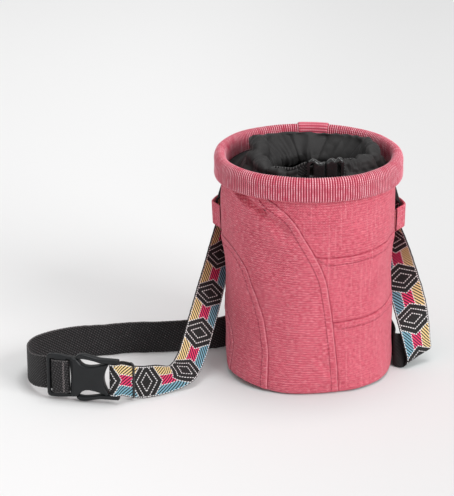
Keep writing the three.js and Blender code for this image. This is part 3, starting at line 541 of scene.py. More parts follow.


# Rim. A stiff hoop inside a wide ribbed tape, which is folded over it and sewn down outside. The ribs run across the
# tape, so they stand upright all round the rim, pale on their crests, where a highlight is painted, and deep crimson
# between, where shade is painted.
RIM_R = 67.2
RIM_FOOT = 145
RIB_PITCH = 1.82
RIM_SECTION = [(-4.6, 0.3), (-1.6, 0.1), (-0.5, 0.6), (-0.1, 1.8), (0.0, 4.5), (-0.15, 8), (0.05, 11.5),
               (-0.35, 14), (-1.6, 16.6), (-3.9, 17.8), (-6.3, 16.8), (-7.6, 14.3), (-8.0, 11), (-8.0, 7),
               (-7.9, 3.5), (-7.2, 3.0)]
RIBS = round(2 * math.pi * RIM_R / RIB_PITCH)
RIB_HIGH = 0.38
EDGE_ROW = 14.2  # from the tape's sewn edge up to the row where it bends over the rim

section = smooth(RIM_SECTION, 4)
section_out = outwards(section)
rim_turns, rim_across = np.meshgrid(np.linspace(90, 450, RIBS * 5 + 1), run_along(section))
around = np.radians(rim_turns)
rib = 0.5 + 0.5 * np.cos((rim_turns - 90) / 360 * RIBS * 2 * math.pi)
wavy = 0.25 * np.sin(around * 5 + 1) + 0.18 * np.sin(around * 11)
edge_row = np.exp(-(((rim_across - EDGE_ROW) / 0.5) ** 2))
proud = RIB_HIGH * rib * (1 - 0.5 * edge_row) * fade(rim_across, 2.0, 4.0) - 0.3 * edge_row
rim_radii = RIM_R + section[:, 0][:, None] + section_out[:, 0][:, None] * proud + wavy * fade(rim_across, 2, 10)
rim_heights = RIM_FOOT + section[:, 1][:, None] + section_out[:, 1][:, None] * proud + 0.3 * np.sin(around * 3)
rim_heights += 1.5 * np.clip(-np.sin(around), 0, 1) * (1 - fade(section[:, 1], 0, 12))[:, None]
rim_points = on_bag(rim_turns, rim_radii, rim_heights)
rim_uv = np.stack([(rim_turns - 90) * math.radians(RIM_R), rim_across], -1)

ribbed = Finish("ribbed_tape", {"Roughness": 0.62, "Specular IOR Level": 0.35, "Sheen Weight": 0.35,
                                "Sheen Roughness": 0.45})


def ribbed_colours(finish, rib_run, other, pitch, deep, plain, crest_highlight):
    """Crests made pale with a painted highlight and valleys darkened to crimson with painted shade, with each rib made
    of short floats that break it up.
    """
    crest = (rib_run * (2 * math.pi / pitch)).math("COSINE") * 0.5 + 0.5
    phase = finish.noise(rib_run * 0.6, other * 0.1) * 7.0
    float_row = finish.waves(other, 1.5, phase)
    patch = finish.step(finish.noise(rib_run * 0.14, other * 0.2, 2.0), 0.3, 0.6)
    thick = finish.step(finish.noise(rib_run * 0.42, other * 0.12, 1.0, 9.0), 0.38, 0.6)
    # Painted shade in the valleys and a painted highlight on the crests, broken up by patches, thick yarns and floats.
    tone = finish.mix(deep, plain, finish.step(crest, 0.1, 0.6))
    light = finish.step(crest, 0.5, 0.95) * (0.2 + patch * 0.35 + thick * 0.45) * (0.4 + float_row * 0.6)
    finish.colour(finish.mix(tone, (0.98, 0.62, 0.68), light * crest_highlight))
    finish.raised(crest * 0.5 + float_row * crest * 0.5, 0.22)


tape_u, tape_v = ribbed.cloth()
ribbed_colours(ribbed, tape_u, tape_v, 2 * math.pi * RIM_R / RIBS, (0.28, 0.003, 0.024), (0.58, 0.040, 0.095), 1.0)
rim_tape = lofted("rim_tape", rim_points[:, :-1], rim_uv, ribbed, True)
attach(rim_tape, "root")
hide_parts("rim_binding")

# Join cover. A short end of the same tape laid the other way over the join at the back of the rim, so its ribs lie
# along the rim.
TAB_TURN = 87
TAB_HALF = 10.4
tab_section = smooth(RIM_SECTION[3:13], 5)
tab_out = outwards(tab_section)
tab_turn = TAB_TURN + TAB_HALF * np.concatenate([[-1, -0.99, -0.96], np.linspace(-0.9, 0.9, 31), [0.96, 0.99, 1]])
tab_turns, tab_run = np.meshgrid(tab_turn, run_along(tab_section))
rolled_end = np.clip((1 - np.abs(tab_turns - TAB_TURN) / TAB_HALF) * 12, 0, 1)
proud = 0.2 + 1.05 * np.sqrt(rolled_end) + 0.12 * np.cos(tab_run * 2 * math.pi / RIB_PITCH)
tab_points = on_bag(tab_turns, RIM_R + tab_section[:, 0][:, None] + tab_out[:, 0][:, None] * proud,
                    RIM_FOOT + tab_section[:, 1][:, None] + tab_out[:, 1][:, None] * proud)
tab_tape = Finish("join_tape", {"Roughness": 0.62, "Specular IOR Level": 0.35, "Sheen Weight": 0.35})
tab_u, tab_v = tab_tape.cloth()
ribbed_colours(tab_tape, tab_v, tab_u, RIB_PITCH, (0.48, 0.045, 0.085), (0.66, 0.110, 0.170), 0.4)
rim_join = lofted("rim_join", tab_points, np.stack([(tab_turns - 60) * math.radians(RIM_R), tab_run], -1), tab_tape)
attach(rim_join, "root")
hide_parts("rim_tab")


# Lining. A cup of coated black cloth inside the canvas, sewn in under the rim. It is smooth on its floor and creased
# a little down its wall.
nylon = Finish("coated_cloth", {"Roughness": 0.55, "Specular IOR Level": 0.32, "Sheen Weight": 0.04})
coat_u, coat_v = nylon.cloth()
coat_fine = nylon.noise(coat_u * 2.2, coat_v * 2.2, 3.0)
coat_slow = nylon.noise(coat_u * 0.09, coat_v * 0.09, 3.0)
coat_weave = (coat_u * 7.0).math("SINE") * (coat_v * 7.0).math("SINE")
coat_crumple = (nylon.noise(coat_u * 0.08, coat_v * 0.08, 0.0, 4.0) - 0.5).math("ABSOLUTE")  # sharp where it is 0
nylon.colour(nylon.mix((0.007, 0.0065, 0.0065), (0.027, 0.0255, 0.0255), coat_slow * 0.4 + coat_fine * 0.6))
crumpled = nylon.raised(coat_crumple * 2.5 + coat_slow, 0.45)
nylon.raised(coat_fine * 0.6 + coat_weave * 0.2, 0.14, crumpled)

cup_profile = smooth([(3.6, 1.0), (3.6, 20), (3.6, 44), (3.8, 52), (7, 54.2), (20, 56.4), (60, 57.0), (100, 57.6),
                      (130, 58.2), (150, 57.9)], 5)
cup_turns, cup_z = np.meshgrid(np.linspace(0, 360, 161), cup_profile[:, 0])
cup_r = cup_profile[:, 1][:, None] + 0 * cup_turns
creases = np.sin(np.radians(cup_turns) * 9 + cup_z * 0.03) + 0.6 * np.sin(np.radians(cup_turns) * 17 - cup_z * 0.05)
cup_r = cup_r - (0.8 + 0.45 * creases) * fade(cup_r, 30, 56) * fade(cup_z, 5, 30) * (1 - fade(cup_z, 135, 150))
cup_points = on_bag(cup_turns, cup_r, cup_z)
cup_uv = np.stack([cup_turns, cup_z + cup_r], -1)
lining_cup = lofted("lining_cup", cup_points[:, :-1], cup_uv, nylon, True)
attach(lining_cup, "root")
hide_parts("lining")


# Collar. A skirt of the same coated cloth, sewn round the lining's top edge and gathered up to the mouth, where its
# hem is rolled over a cord. It slumps into soft lobes at both sides and is drawn up in front by the cinch strap.
COLLAR_FOOT_R, COLLAR_FOOT_Z = 57.7, 149.8
COLLAR_END_R, COLLAR_END_Z = 56.6, 130  # where its inner ply goes back to the lining
# The roll's crest: turn, radius and height. Then how fat the roll is: turn and radius.
MOUTH_RIDGE = [(14, 45, 167.5), (30, 47, 165), (44, 48.6, 163.2), (60, 45.5, 162.6), (76, 42.2, 162.6),
               (102, 41.8, 163.2), (120, 42.4, 163.8), (136, 42, 165), (150, 38.4, 168), (165, 36, 169.7),
               (180, 35, 169.2), (195, 35.5, 166), (210, 36.8, 162.4), (226, 37.5, 159.8), (240, 37.6, 158.6),
               (252, 34.5, 158), (266, 31.6, 159), (282, 32.6, 162), (300, 35.5, 163.8), (316, 39.5, 164),
               (332, 43, 164.2), (346, 45.6, 165), (360, 46.3, 167.4)]
PUFF = [(0, 5.6), (30, 3.2), (60, 1.6), (120, 1.8), (136, 3), (150, 5.4), (165, 7.4), (182, 8.4), (196, 8),
        (210, 6.8), (226, 5.4), (240, 4.4), (252, 2.8), (266, 1.8), (300, 2.2), (330, 4.2)]


def round_table(table, turns):
    """Values at turns from a table of turn and values that closes on itself."""
    rows = np.array([*table[-2:], *table, *table[:2]], float)
    rows[:2, 0] -= 360
    rows[-2:, 0] += 360
    made = smooth(rows, 12)
    return [np.interp(turns, made[:, 0], made[:, k]) for k in range(1, rows.shape[1])]


col_turn = np.linspace(0, 360, 361)
ridge_r, ridge_z = round_table(MOUTH_RIDGE, col_turn)
(puff,) = round_table(PUFF, col_turn)
roll = puff * 0.9
rows = []
for share in np.linspace(0, 1, 16):  # outside, from the seam up to the roll
    inwards = np.clip(share * 1.5, 0, 1) ** 1.15
    r = COLLAR_FOOT_R + (ridge_r + roll - COLLAR_FOOT_R) * inwards + 1.6 * np.sin(math.pi * share)
    tucked = roll * np.sin(math.pi * min(share * 1.7, 1))
    z = COLLAR_FOOT_Z + (ridge_z - roll - COLLAR_FOOT_Z) * share**1.25 - tucked
    rows.append((r, z, 0 * col_turn + share))
for swing in np.linspace(0.12, 0.96, 9) * math.pi:  # over the roll
    r, z = ridge_r + roll * np.cos(swing), ridge_z - roll + roll * np.sin(swing)
    rows.append((r, z, 0 * col_turn + 1 + swing / math.pi))
slumped = 11 * fade(col_turn, 10, 45) * (1 - fade(col_turn, 140, 172)) + 2
for share in np.linspace(0.04, 1, 26):  # inside, where it slumps inwards and then goes back to the lining
    r = ridge_r - roll + (COLLAR_END_R - ridge_r + roll) * fade(share, 0.55, 1.05)
    r = r - slumped * np.sin(math.pi * np.clip(share / 0.92, 0, 1)) ** 1.2
    z = ridge_z - puff * 0.95 + (COLLAR_END_Z - ridge_z + puff * 0.95) * share
    rows.append((r, z, 0 * col_turn + 2 + share))
collar_r, collar_z, collar_share = (np.array(a) for a in zip(*rows))
collar_t = np.repeat(col_turn[None], len(rows), 0)

# Folds of the gathered cloth: turn and place on the section at both ends, half width, and how far they stand out.
# A place is 0 at the seam, 1 to 2 on the roll, and 3 where the inner ply meets the lining.
COLLAR_FOLDS = [((146, 1.5), (162, 2.15), 2.6, -4.6), ((160, 1.1), (182, 1.75), 3.4, 2.0),
                ((163, 0.75), (190, 1.25), 2.6, -4.6), ((196, 0.3), (186, 1.5), 4, 1.6),
                ((207, 0.2), (199, 1.9), 2.2, -3.4), ((216, 0.2), (219, 1.6), 4.0, 1.8),
                ((229, 0.2), (224, 1.9), 2.0, -2.2), ((238, 0.3), (241, 1.7), 3.4, 1.4),
                ((249, 0.2), (246, 1.5), 2.0, -1.8), ((172, 0.2), (176, 0.7), 3, -1.6),
                ((257, 0.2), (258, 1.4), 2.6, 1.0), ((196, 2.0), (188, 2.6), 6, -1.6),
                ((338, 0.3), (332, 1.6), 3.0, 1.8), ((329, 0.2), (325, 1.7), 1.9, -2.2),
                ((350, 0.3), (344, 1.9), 2.4, -4.0), ((4, 0.4), (356, 1.7), 4, 1.8),
                ((17, 0.4), (12, 1.8), 2.2, -3.4), ((26, 0.6), (24, 1.6), 3, 1.2),
                ((126, 2.0), (116, 2.8), 4, 1.3), ((110, 2.0), (99, 2.9), 3.4, -1.5),
                ((90, 2.0), (82, 2.8), 5, 1.2), ((72, 2.0), (80, 2.8), 3, -1.3),
                ((54, 2.0), (62, 2.8), 5, 1.2), ((142, 2.0), (133, 2.9), 3.4, -2.0),
                ((34, 2.0), (42, 2.8), 3.4, -1.7), ((60, 2.25), (110, 2.5), 3.4, -1.1)]
PLACE_LONG = 22  # how long one step of place counts beside a degree of turn
bulge = np.zeros(collar_r.shape)
for (t0, s0), (t1, s1), wide, high in COLLAR_FOLDS:
    for round_again in (-360, 0, 360):
        ends = [(t0, s0 * PLACE_LONG), (t1, s1 * PLACE_LONG)]
        off, _ = off_seam(collar_t + round_again, collar_share * PLACE_LONG, ends)
        bulge += high * np.exp(0.25 - np.hypot(off / wide * 1.35, 0.25))
ruche = 0.55 * np.sin(np.radians(col_turn) * 62) * fade(col_turn, 288, 296) * (1 - fade(col_turn, 322, 330))
bulge += ruche * fade(collar_share, 0.1, 0.4) * (1 - fade(collar_share, 1.3, 1.7))
creased = np.abs(np.sin(np.radians(collar_t) * 13 + 2.1 * np.sin(collar_share * 2.6 + np.radians(collar_t) * 3)))
bulge += 0.75 * (0.6 - creased) * fade(collar_share, 0.1, 0.6)
held = fade(collar_share, 0.0, 0.3) * (1 - fade(collar_share, 2.7, 3.0))
slope_r, slope_z = np.gradient(collar_r, axis=0), np.gradient(collar_z, axis=0)
steep = np.hypot(slope_r, slope_z) + 1e-6
collar_r = collar_r + bulge * held * slope_z / steep
collar_z = collar_z - bulge * held * slope_r / steep
collar_points = on_bag(collar_t, collar_r, collar_z)
collar_v = run_along(np.stack([collar_r[:, 90], collar_z[:, 90]], 1))
collar_uv = np.stack([collar_t * math.radians(50), collar_v[:, None] + 0 * collar_t], -1)
collar_skirt = lofted("collar_skirt", collar_points[:, :-1], collar_uv, nylon, True)
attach(collar_skirt, "root")
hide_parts("closure_collar")


# Belt. One loop of 25 mm woven webbing that goes up through both side loops, folds over its own diagonal there and
# crosses the back. Its face has coloured stripes under a woven figure, and its reverse and the buckled end are black.
BELT_WIDTH = 25
BELT_THICK = 1.2
FOLD_R = 1.3
LOOP_FOOT = 101.5
LOOP_HEIGHT = 17.5
LOOP_DEPTH = 9
GAP = 0.3
RUN_FOOT = LOOP_FOOT + LOOP_HEIGHT + 2 * GAP
FOLD_FOOT = RUN_FOOT - math.pi * FOLD_R / math.sqrt(2)
RUN_R = 62.28  # the canvas behind the belt's run
# How the run across the back stands off the bag: turn from its side, and share of a loop's depth.
BACK_RUN = [(14, 0.7), (23, 0.66), (34.5, 0.62), (48, 0.56), (62, 0.58), (76, 0.6)]
BUCKLE_X, BUCKLE_Y, BUCKLE_TURN, BUCKLE_LENGTH = -159.3, -78.5, math.radians(-8), 52.6
# Rows of a free stretch: x, y and the lower edge's height, then the turn of its width and how far that tips up.
LEFT_STRETCH = [(-131.1, -81.2, 5.5, -130, 90), (-124.2, -76.6, 2.2, -130, 90), (-115.6, -72.3, 0, -130, 90),
                (-107, -68.9, 0, -130, 84), (-100.2, -64.8, 0, -130, 70), (-90.5, -56.5, 4.7, -152, 38),
                (-84.5, -41.5, 12, -147.5, 29), (-77.8, -27, 33.5, -147.5, 27), (-72.7, -6.2, 49.9, -145, 25),
                (-66.4, 18.3, 74.4, -135, 20)]
RIGHT_STRETCH = [(61.5, 25.2, 82.2, -38, 9), (66.9, 25.8, 55.3, -12, 23), (73.1, 12.3, 37.8, 10, 21),
                 (76.3, 1.2, 28.9, 25, 10), (78.8, -4.3, 18.3, 35, 1), (80.3, -4.6, 4.1, 44, 10),
                 (74.7, -3.7, 0, 58, 38), (67.7, -7.7, 0, 72, 70), (62.7, -7.1, 0, 80, 84), (63, 4.3, 0, 80, 90),
                 (59.3, 25.8, 0, 80, 90), (46.1, 48, 0, 80, 90), (22.1, 62.7, 0, 80, 90), (6.2, 66.4, 0, 80, 90)]
BLACK_ROUTE = [(22.8, 64.9, 0), (6.2, 68.6, 0), (-12.3, 67.7, 0), (-33.8, 58.1, 0), (-52.9, 38.1, 0), (-64, 20.3, 0),
               (-80, 14.8, 0), (-97.2, 10.6, 0), (-110.7, 8.2, 0), (-133.5, 5.7, 0), (-151.9, 0.5, 0),
               (-169.4, -2.9, 0), (-180.2, -7.4, 0), (-191.3, -14.7, 0), (-200.2, -24.6, 0), (-203, -36, 0.3),
               (-201.1, -48.6, 1), (-196.2, -59.7, 2.5)]


def stretch(rows, per_span):
    """Middle, width and normal of the belt at each step of a free stretch, never under the floor."""
    rows = np.array(rows, float)
    turned, tipped = np.radians(rows[:, 3]), np.radians(rows[:, 4])
    rise = (np.sin(tipped) * BELT_WIDTH + np.cos(tipped) * BELT_THICK) / 2
    middle = smooth(np.stack([rows[:, 0], rows[:, 1], rows[:, 2] + rise], 1), per_span)
    widths = np.stack([np.cos(tipped) * np.cos(turned), np.cos(tipped) * np.sin(turned), np.sin(tipped)], 1)
    at = np.arange(len(middle)) / per_span
    width = np.stack([np.interp(at, np.arange(len(rows)), widths[:, k]) for k in range(3)], 1)
    width /= np.linalg.norm(width, axis=1)[:, None]
    flat = np.hypot(width[:, 0], width[:, 1])
    middle[:, 2] = np.maximum(middle[:, 2], (width[:, 2] * BELT_WIDTH + flat * BELT_THICK) / 2)
    normal = np.cross(np.gradient(middle, axis=0), width)
    normal /= np.linalg.norm(normal, axis=1)[:, None]
    return middle, width, normal


def side_turn(side, degrees):
    return degrees if side > 0 else 180 - degrees


back_points = [(side_turn(side, t), RUN_R + stand * LOOP_DEPTH) for side, table in
               ((-1, BACK_RUN), (1, BACK_RUN[::-1])) for t, stand in table]
back_lean = -RIM_LEAN * (RUN_FOOT + BELT_WIDTH / 2) / RIM_TOP
back = smooth([(back_lean + r * math.cos(math.radians(t)), r * math.sin(math.radians(t))) for t, r in back_points],
              40)
back_run = run_along(back)
back_ahead = np.gradient(back, axis=0)
back_ahead /= np.linalg.norm(back_ahead, axis=1)[:, None]


def folded(side, climb, across, out):
    """Point where the belt goes up through a loop, folds over its diagonal and runs across the back."""
    rise = LOOP_FOOT + climb - FOLD_FOOT
    past, along = (rise - across) / math.sqrt(2), (rise + across) / math.sqrt(2)
    swing, depth, bend = past, out, math.pi * FOLD_R
    if past > bend:
        swing, depth = bend - past, -2 * FOLD_R - out
    elif past > 0:
        a = past / FOLD_R
        swing, depth = (FOLD_R + out) * math.sin(a), (FOLD_R + out) * math.cos(a) - FOLD_R
    t = (along - swing) / math.sqrt(2)
    at = np.clip(t, 0, back_run[-1])
    from_left = at if side < 0 else back_run[-1] - at
    x, y, ax, ay = (np.interp(from_left, back_run, a) for a in (*back.T, *back_ahead.T))
    beyond = min(t, 0) * (1 if side < 0 else -1)
    return (x + ax * beyond - ay * depth, y + ay * beyond + ax * depth, FOLD_FOOT + (along + swing) / math.sqrt(2))


# Places across the webbing and out of it, round its section, with soft round selvedges.
even = np.linspace(0, 1, 33)
share_across = 0.35 * (0.5 - 0.5 * np.cos(math.pi * even)) + 0.65 * even
into_selvedge = np.clip((np.abs(share_across - 0.5) - 0.482) / 0.018, 0, 1)
half_thick = BELT_THICK / 2 * np.sqrt(np.clip(1 - into_selvedge**2, 0.02, 1))
SECTION_S = np.concatenate([share_across, share_across[::-1]])
SECTION_OUT = np.concatenate([half_thick, -half_thick[::-1]])


def rings_of(frames, from_run):
    """Rings of a free stretch, with the run along it and the place across."""
    middle, width, normal = frames
    run = from_run + run_along(middle)
    scallop = 1 + 0.008 * np.cos(run * 2 * math.pi / 1.5)
    across = (0.5 - SECTION_S)[None, :, None] * BELT_WIDTH * scallop[:, None, None]
    points = middle[:, None] + across * width[:, None] + SECTION_OUT[None, :, None] * normal[:, None]
    return points, np.repeat(run[:, None], len(SECTION_S), 1)


def fold_rings(side, climbs):
    """Rings of the stretch inside a loop and across half of the back, with the same."""
    points = [[folded(side, climb(s), s * BELT_WIDTH, -out) for s, out in zip(SECTION_S, SECTION_OUT)]
              for climb in climbs]
    return np.array(points), np.array([[climb(s) for s in SECTION_S] for climb in climbs])


def loop_row(side):
    """Row of a free stretch where it goes up into a loop."""
    front, rear = (np.array(folded(side, 0, s, 0)) for s in (0, BELT_WIDTH))
    width = front - rear
    return (*((front + rear) / 2)[:2], LOOP_FOOT, math.degrees(math.atan2(width[1], width[0])), 0)


def at_buckle(along, behind, low):
    """Row of a free stretch at a place beside the buckle's middle."""
    c, s = math.cos(BUCKLE_TURN), math.sin(BUCKLE_TURN)
    return (BUCKLE_X + along * c - behind * s, BUCKLE_Y + along * s + behind * c, low, -130, 90)


BUCKLE_LOW = 5.9
WRAP = 1.9  # from the plug's bar to the webbing's middle
PLUG_BAR = 0.428 * BUCKLE_LENGTH
tail = [(x, y + 2 * WRAP, low + 0.2, turned, tip) for x, y, low, turned, tip in LEFT_STRETCH[1::-1]]
round_bar = [(WRAP * math.cos(a), WRAP * math.sin(a)) for a in np.radians([90, 135, 180, 225, 270])]
wrap = [at_buckle(PLUG_BAR + a, b, BUCKLE_LOW) for a, b in [(2.5, WRAP), *round_bar, (2.5, -WRAP)]]
left_points, left_run = rings_of(stretch([*tail, *wrap, *LEFT_STRETCH, loop_row(-1)], 14), 0)
fold_start = FOLD_FOOT - LOOP_FOOT
fold_bend = math.pi * FOLD_R * math.sqrt(2)
fold_upright = fold_start + BELT_WIDTH + fold_bend + 1
back_step = (back_run[-1] - 2 * BELT_WIDTH) / 15
climbs = [lambda s, k=k: (fold_start + s * BELT_WIDTH) * k for k in np.linspace(0.08, 0.98, 9)]
climbs += [lambda s, k=k: fold_start + s * BELT_WIDTH + k * fold_bend for k in np.linspace(0, 1, 10)]
climbs += [lambda s, k=k: (fold_start + s * BELT_WIDTH + fold_bend) * (1 - k) + fold_upright * k
           for k in np.linspace(0.15, 0.9, 6)]
climbs += [lambda s, k=k: fold_upright + k * back_step for k in np.linspace(0, 7, 29)]
up_points, up_run = fold_rings(-1, climbs)
down_points, down_run = fold_rings(1, climbs[::-1])
loop_run = left_run[-1, 0]
far = up_run[-1, 0]
across_back = back_run[-1] - 2 * (BELT_WIDTH + 1 + math.pi * FOLD_R / math.sqrt(2) + 7 * back_step)
right_start = loop_run + 2 * far + across_back
right_points, right_run = rings_of(stretch([loop_row(1), *RIGHT_STRETCH], 14), right_start)
belt_points = np.vstack([left_points, up_points, down_points, right_points])
belt_run = np.vstack([left_run, loop_run + up_run, right_start - down_run, right_run])

face = Finish("figured_webbing", {"Roughness": 0.8, "Specular IOR Level": 0.25, "Sheen Weight": 0.03})
along, across = face.cloth()
FIGURE = 32.5  # length of one repeat of the woven figure
HATCH = 2.05
mustard, crimson, teal = (0.86, 0.64, 0.30), (0.82, 0.045, 0.16), (0.20, 0.42, 0.52)
stripes = face.mix(mustard, crimson, face.step(across, 8.1, 8.5))
stripes = face.mix(stripes, teal, face.step(across, 16.5, 16.9))
hatch = face.waves(along * 0.75 + across * 0.85, HATCH)
fray = face.noise(along * 2.5, across * 2.5, 2.0)
ground = face.mix(stripes, (0.012, 0.010, 0.012), face.step(hatch + (fray - 0.5) * 0.3, 0.42, 0.66) * 0.97)
in_repeat = (along / FIGURE).math("FRACT") * FIGURE - FIGURE / 2
reach = in_repeat.math("ABSOLUTE") / 12.0 + (across - BELT_WIDTH / 2).math("ABSOLUTE") / 22.0
black_cloth = face.mix((0.006, 0.006, 0.006), (0.030, 0.028, 0.029), hatch * 0.5 + fray * 0.5)
figure = 1.0 - face.step(reach, 0.985, 1.015)
woven_face = face.mix(ground, black_cloth, figure)


def dotted(line, width, phase):
    """A woven outline, broken into single threads."""
    near = 1.0 - face.step(line.math("ABSOLUTE"), width * 0.55, width)
    return near * face.step(face.waves(phase, 1.7), 0.2, 0.5)


outline = dotted(reach - 1.0, 0.042, across)
outline = outline + dotted(reach - 0.66, 0.040, across) + dotted(reach - 0.33, 0.038, across)
between = (1.0 - figure) * (dotted(across - 8.3, 0.42, along) + dotted(across - 16.7, 0.42, along))
edges = dotted(across - 1.0, 0.45, along) + dotted(across - 24.0, 0.45, along)
pale_thread = face.node("ShaderNodeMath", {"operation": "MINIMUM"}, [outline + between + edges, 1.0])
selvedge = 1.0 - face.step(across, 0.55, 0.8) * (1.0 - face.step(across, 24.2, 24.45))
woven_face = face.mix(woven_face, (0.86, 0.84, 0.84), pale_thread * (1.0 - selvedge))
woven_face = face.mix(woven_face, black_cloth, selvedge)
reverse = face.step(face.field("reverse"), 0.4, 0.6)
face.colour(face.mix(woven_face, black_cloth, reverse))
relief = hatch * (1.0 - figure) * 0.4 + pale_thread * 0.5 + fray * 0.4
face.raised(face.waves(along, 0.75) * 0.35 + relief, 0.22)


def webbing(name, points, run, finish, node):
    """A webbing piece, with its face on one side and its reverse on the other, and its ends closed."""
    around = len(SECTION_S)
    uv = np.stack([run, (SECTION_S * BELT_WIDTH)[None] + 0 * run], -1)
    uv = np.concatenate([uv, uv[:, :1]], 1)
    reverse_side = np.tile(np.arange(around) >= around // 2, (len(points), 1)).astype(float)
    made = lofted(name, points, uv, finish, True, {"reverse": reverse_side})
    cut = bpy.data.meshes.new(name + "_ends")
    rings = np.concatenate([points[0], points[-1][::-1]])
    cut.from_pydata((rings * MM).tolist(), [], [tuple(range(around)), tuple(range(around, 2 * around))])
    cut.materials.append(finish.material)
    cut_ends = bpy.data.objects.new(name + "_ends", cut)
    bpy.context.scene.collection.objects.link(cut_ends)
    cut_ends.parent = made
    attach(made, "root")
    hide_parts(node)


webbing("belt_figured", belt_points, belt_run, face, "belt_webbing_patterned")

black_web = Finish("black_webbing", {"Roughness": 0.8, "Specular IOR Level": 0.3, "Sheen Weight": 0.04})
run_u, place_v = black_web.cloth()
twill = black_web.waves(run_u * 0.7 + place_v, 2.1)
pick = black_web.waves(run_u - place_v * 0.35, 1.9)
speck = black_web.step(black_web.noise(run_u * 1.6, place_v * 1.6, 2.0), 0.5, 0.75)
edge_dots = black_web.step(place_v, 24.1, 24.5) + 1.0 - black_web.step(place_v, 0.5, 0.9)
edge_dots = edge_dots * black_web.waves(run_u, 1.4)
black_tone = black_web.mix((0.006, 0.0055, 0.006), (0.026, 0.024, 0.025), twill * 0.6 + pick * 0.3)
black_tone = black_web.mix(black_tone, (0.30, 0.285, 0.29), twill * twill * pick * (0.10 + speck * 0.75))
black_web.colour(black_web.mix(black_tone, (0.34, 0.31, 0.31), edge_dots * 0.3))
black_web.raised(twill * 0.7 + pick * 0.5, 0.18)

SOCKET_BAR = (-20.0, -10.6)  # its two edges
NEAR = 2.4  # from the bar's middle to the webbing on it
EDGE = GAP + BELT_THICK / 2
socket_wrap = [(SOCKET_BAR[0] - 8, NEAR + 1.5), (SOCKET_BAR[0], NEAR + 1.6), (SOCKET_BAR[1] - 1, NEAR + 1.5),
               (SOCKET_BAR[1] + EDGE, NEAR), (SOCKET_BAR[1] + EDGE, -NEAR + 0.9), (SOCKET_BAR[1] - GAP, -NEAR),
               (-15.3, -NEAR), (SOCKET_BAR[0] + GAP, -NEAR), (SOCKET_BAR[0] - EDGE, -NEAR + 0.9),
               (SOCKET_BAR[0] - EDGE, NEAR - 0.9), (SOCKET_BAR[0] + GAP, NEAR), (-15.3, NEAR),
               (SOCKET_BAR[1] - 2.5, NEAR)]
black_rows = [(x, y, low, -130, 90) for x, y, low in BLACK_ROUTE]
black_rows += [at_buckle(a, b, BUCKLE_LOW) for a, b in socket_wrap]
black_points, black_run = rings_of(stretch(black_rows, 14), 0)
webbing("belt_black", black_points, black_run, black_web, "belt_webbing_black")


# Belt buckle. A side-release buckle moulded in black acetal: a socket with a bar for the webbing and a flat housing,
# and a plug whose two springy arms bow out at the housing's sides, where the fingers press them.
acetal = Finish("moulded_acetal", {"Specular IOR Level": 0.26})
rubbed = acetal.grain(90.0, 4.0)
acetal.colour(acetal.mix((0.009, 0.010, 0.011), (0.018, 0.019, 0.021), rubbed))
acetal.feed(acetal.shader.inputs["Roughness"], rubbed * 0.16 + 0.28)
acetal.raised(acetal.grain(2400.0), 0.02)


def moulded(name, outlines, thick, soft, at, turn_z, finish=acetal):
    """A plate in the XZ plane with round edges, from its outline and those of its holes."""
    drawn = bpy.data.curves.new(name, "CURVE")
    drawn.dimensions = "2D"
    drawn.fill_mode = "BOTH"
    drawn.extrude = (thick / 2 - soft) * MM
    drawn.bevel_depth = soft * MM
    drawn.bevel_resolution = 3
    drawn.offset = -soft * MM
    for edge in outlines:
        spline = drawn.splines.new("POLY")
        spline.points.add(len(edge) - 1)
        spline.points.foreach_set("co", [c for x, z in edge for c in (x * MM, z * MM, 0, 1)])
        spline.use_cyclic_u = True
    holder = bpy.data.objects.new(name + "_drawn", drawn)
    mesh = bpy.data.meshes.new_from_object(holder)
    stood_up = Matrix.Rotation(turn_z, 4, "Z") @ Matrix.Rotation(math.pi / 2, 4, "X")
    mesh.transform(Matrix.Translation(Vector(at) * MM) @ stood_up)
    bpy.data.objects.remove(holder)
    mesh.name = name
    mesh.shade_smooth()
    mesh.materials.clear()
    mesh.materials.append(finish.material)
    made = bpy.data.objects.new(name, mesh)
    bpy.context.scene.collection.objects.link(made)
    made.modifiers.new("crisp", "EDGE_SPLIT").split_angle = math.radians(50)
    return made


def rounded(points, radius, steps=5):
    """An outline with its corners rounded off."""
    made = []
    count = len(points)
    for k in range(count):
        a, b, c = (np.array(points[i % count], float) for i in (k - 1, k, k + 1))
        cut = min(radius, np.linalg.norm(a - b) * 0.45, np.linalg.norm(c - b) * 0.45)
        start = b + (a - b) / np.linalg.norm(a - b) * cut
        end = b + (c - b) / np.linalg.norm(c - b) * cut
        made += [tuple((1 - t) ** 2 * start + 2 * t * (1 - t) * b + t * t * end) for t in np.linspace(0, 1, steps)]
    return made


def box_of(x0, x1, half):
    """An upright oblong, as tall above the middle as below it."""
    return [(x0, -half), (x1, -half), (x1, half), (x0, half)]


BUCKLE_Z = 18.4
BUCKLE_AT = (BUCKLE_X, BUCKLE_Y, BUCKLE_Z)
SLIT_HALF = 12.9
SLIT_END = SOCKET_BAR[1] + 2.8
frame_half = [(-25.2, 16.4), (-16, 16.6), (-8, 15.6), (SLIT_END + 4, 15)]
frame_outline = rounded([(x, -z) for x, z in frame_half] + frame_half[::-1], 3.6, 7)
slot_outer = rounded(box_of(SOCKET_BAR[0] - 2.6, SOCKET_BAR[0], SLIT_HALF), 0.9)
slot_inner = rounded([(SOCKET_BAR[1], -SLIT_HALF), (SLIT_END - 0.7, -SLIT_HALF), (SLIT_END, 0),
                      (SLIT_END - 0.7, SLIT_HALF), (SOCKET_BAR[1], SLIT_HALF)], 0.7)
buckle_pieces = [moulded("buckle_frame", [frame_outline, slot_outer, slot_inner], 3.4, 1.3, BUCKLE_AT, BUCKLE_TURN)]
MOUTH_HALF = 11.4
mouth_edge = [(20.2 - 3.9 * math.cos(math.pi / 2 * z / MOUTH_HALF) ** 0.9, z)
              for z in np.linspace(-MOUTH_HALF, MOUTH_HALF, 17)]
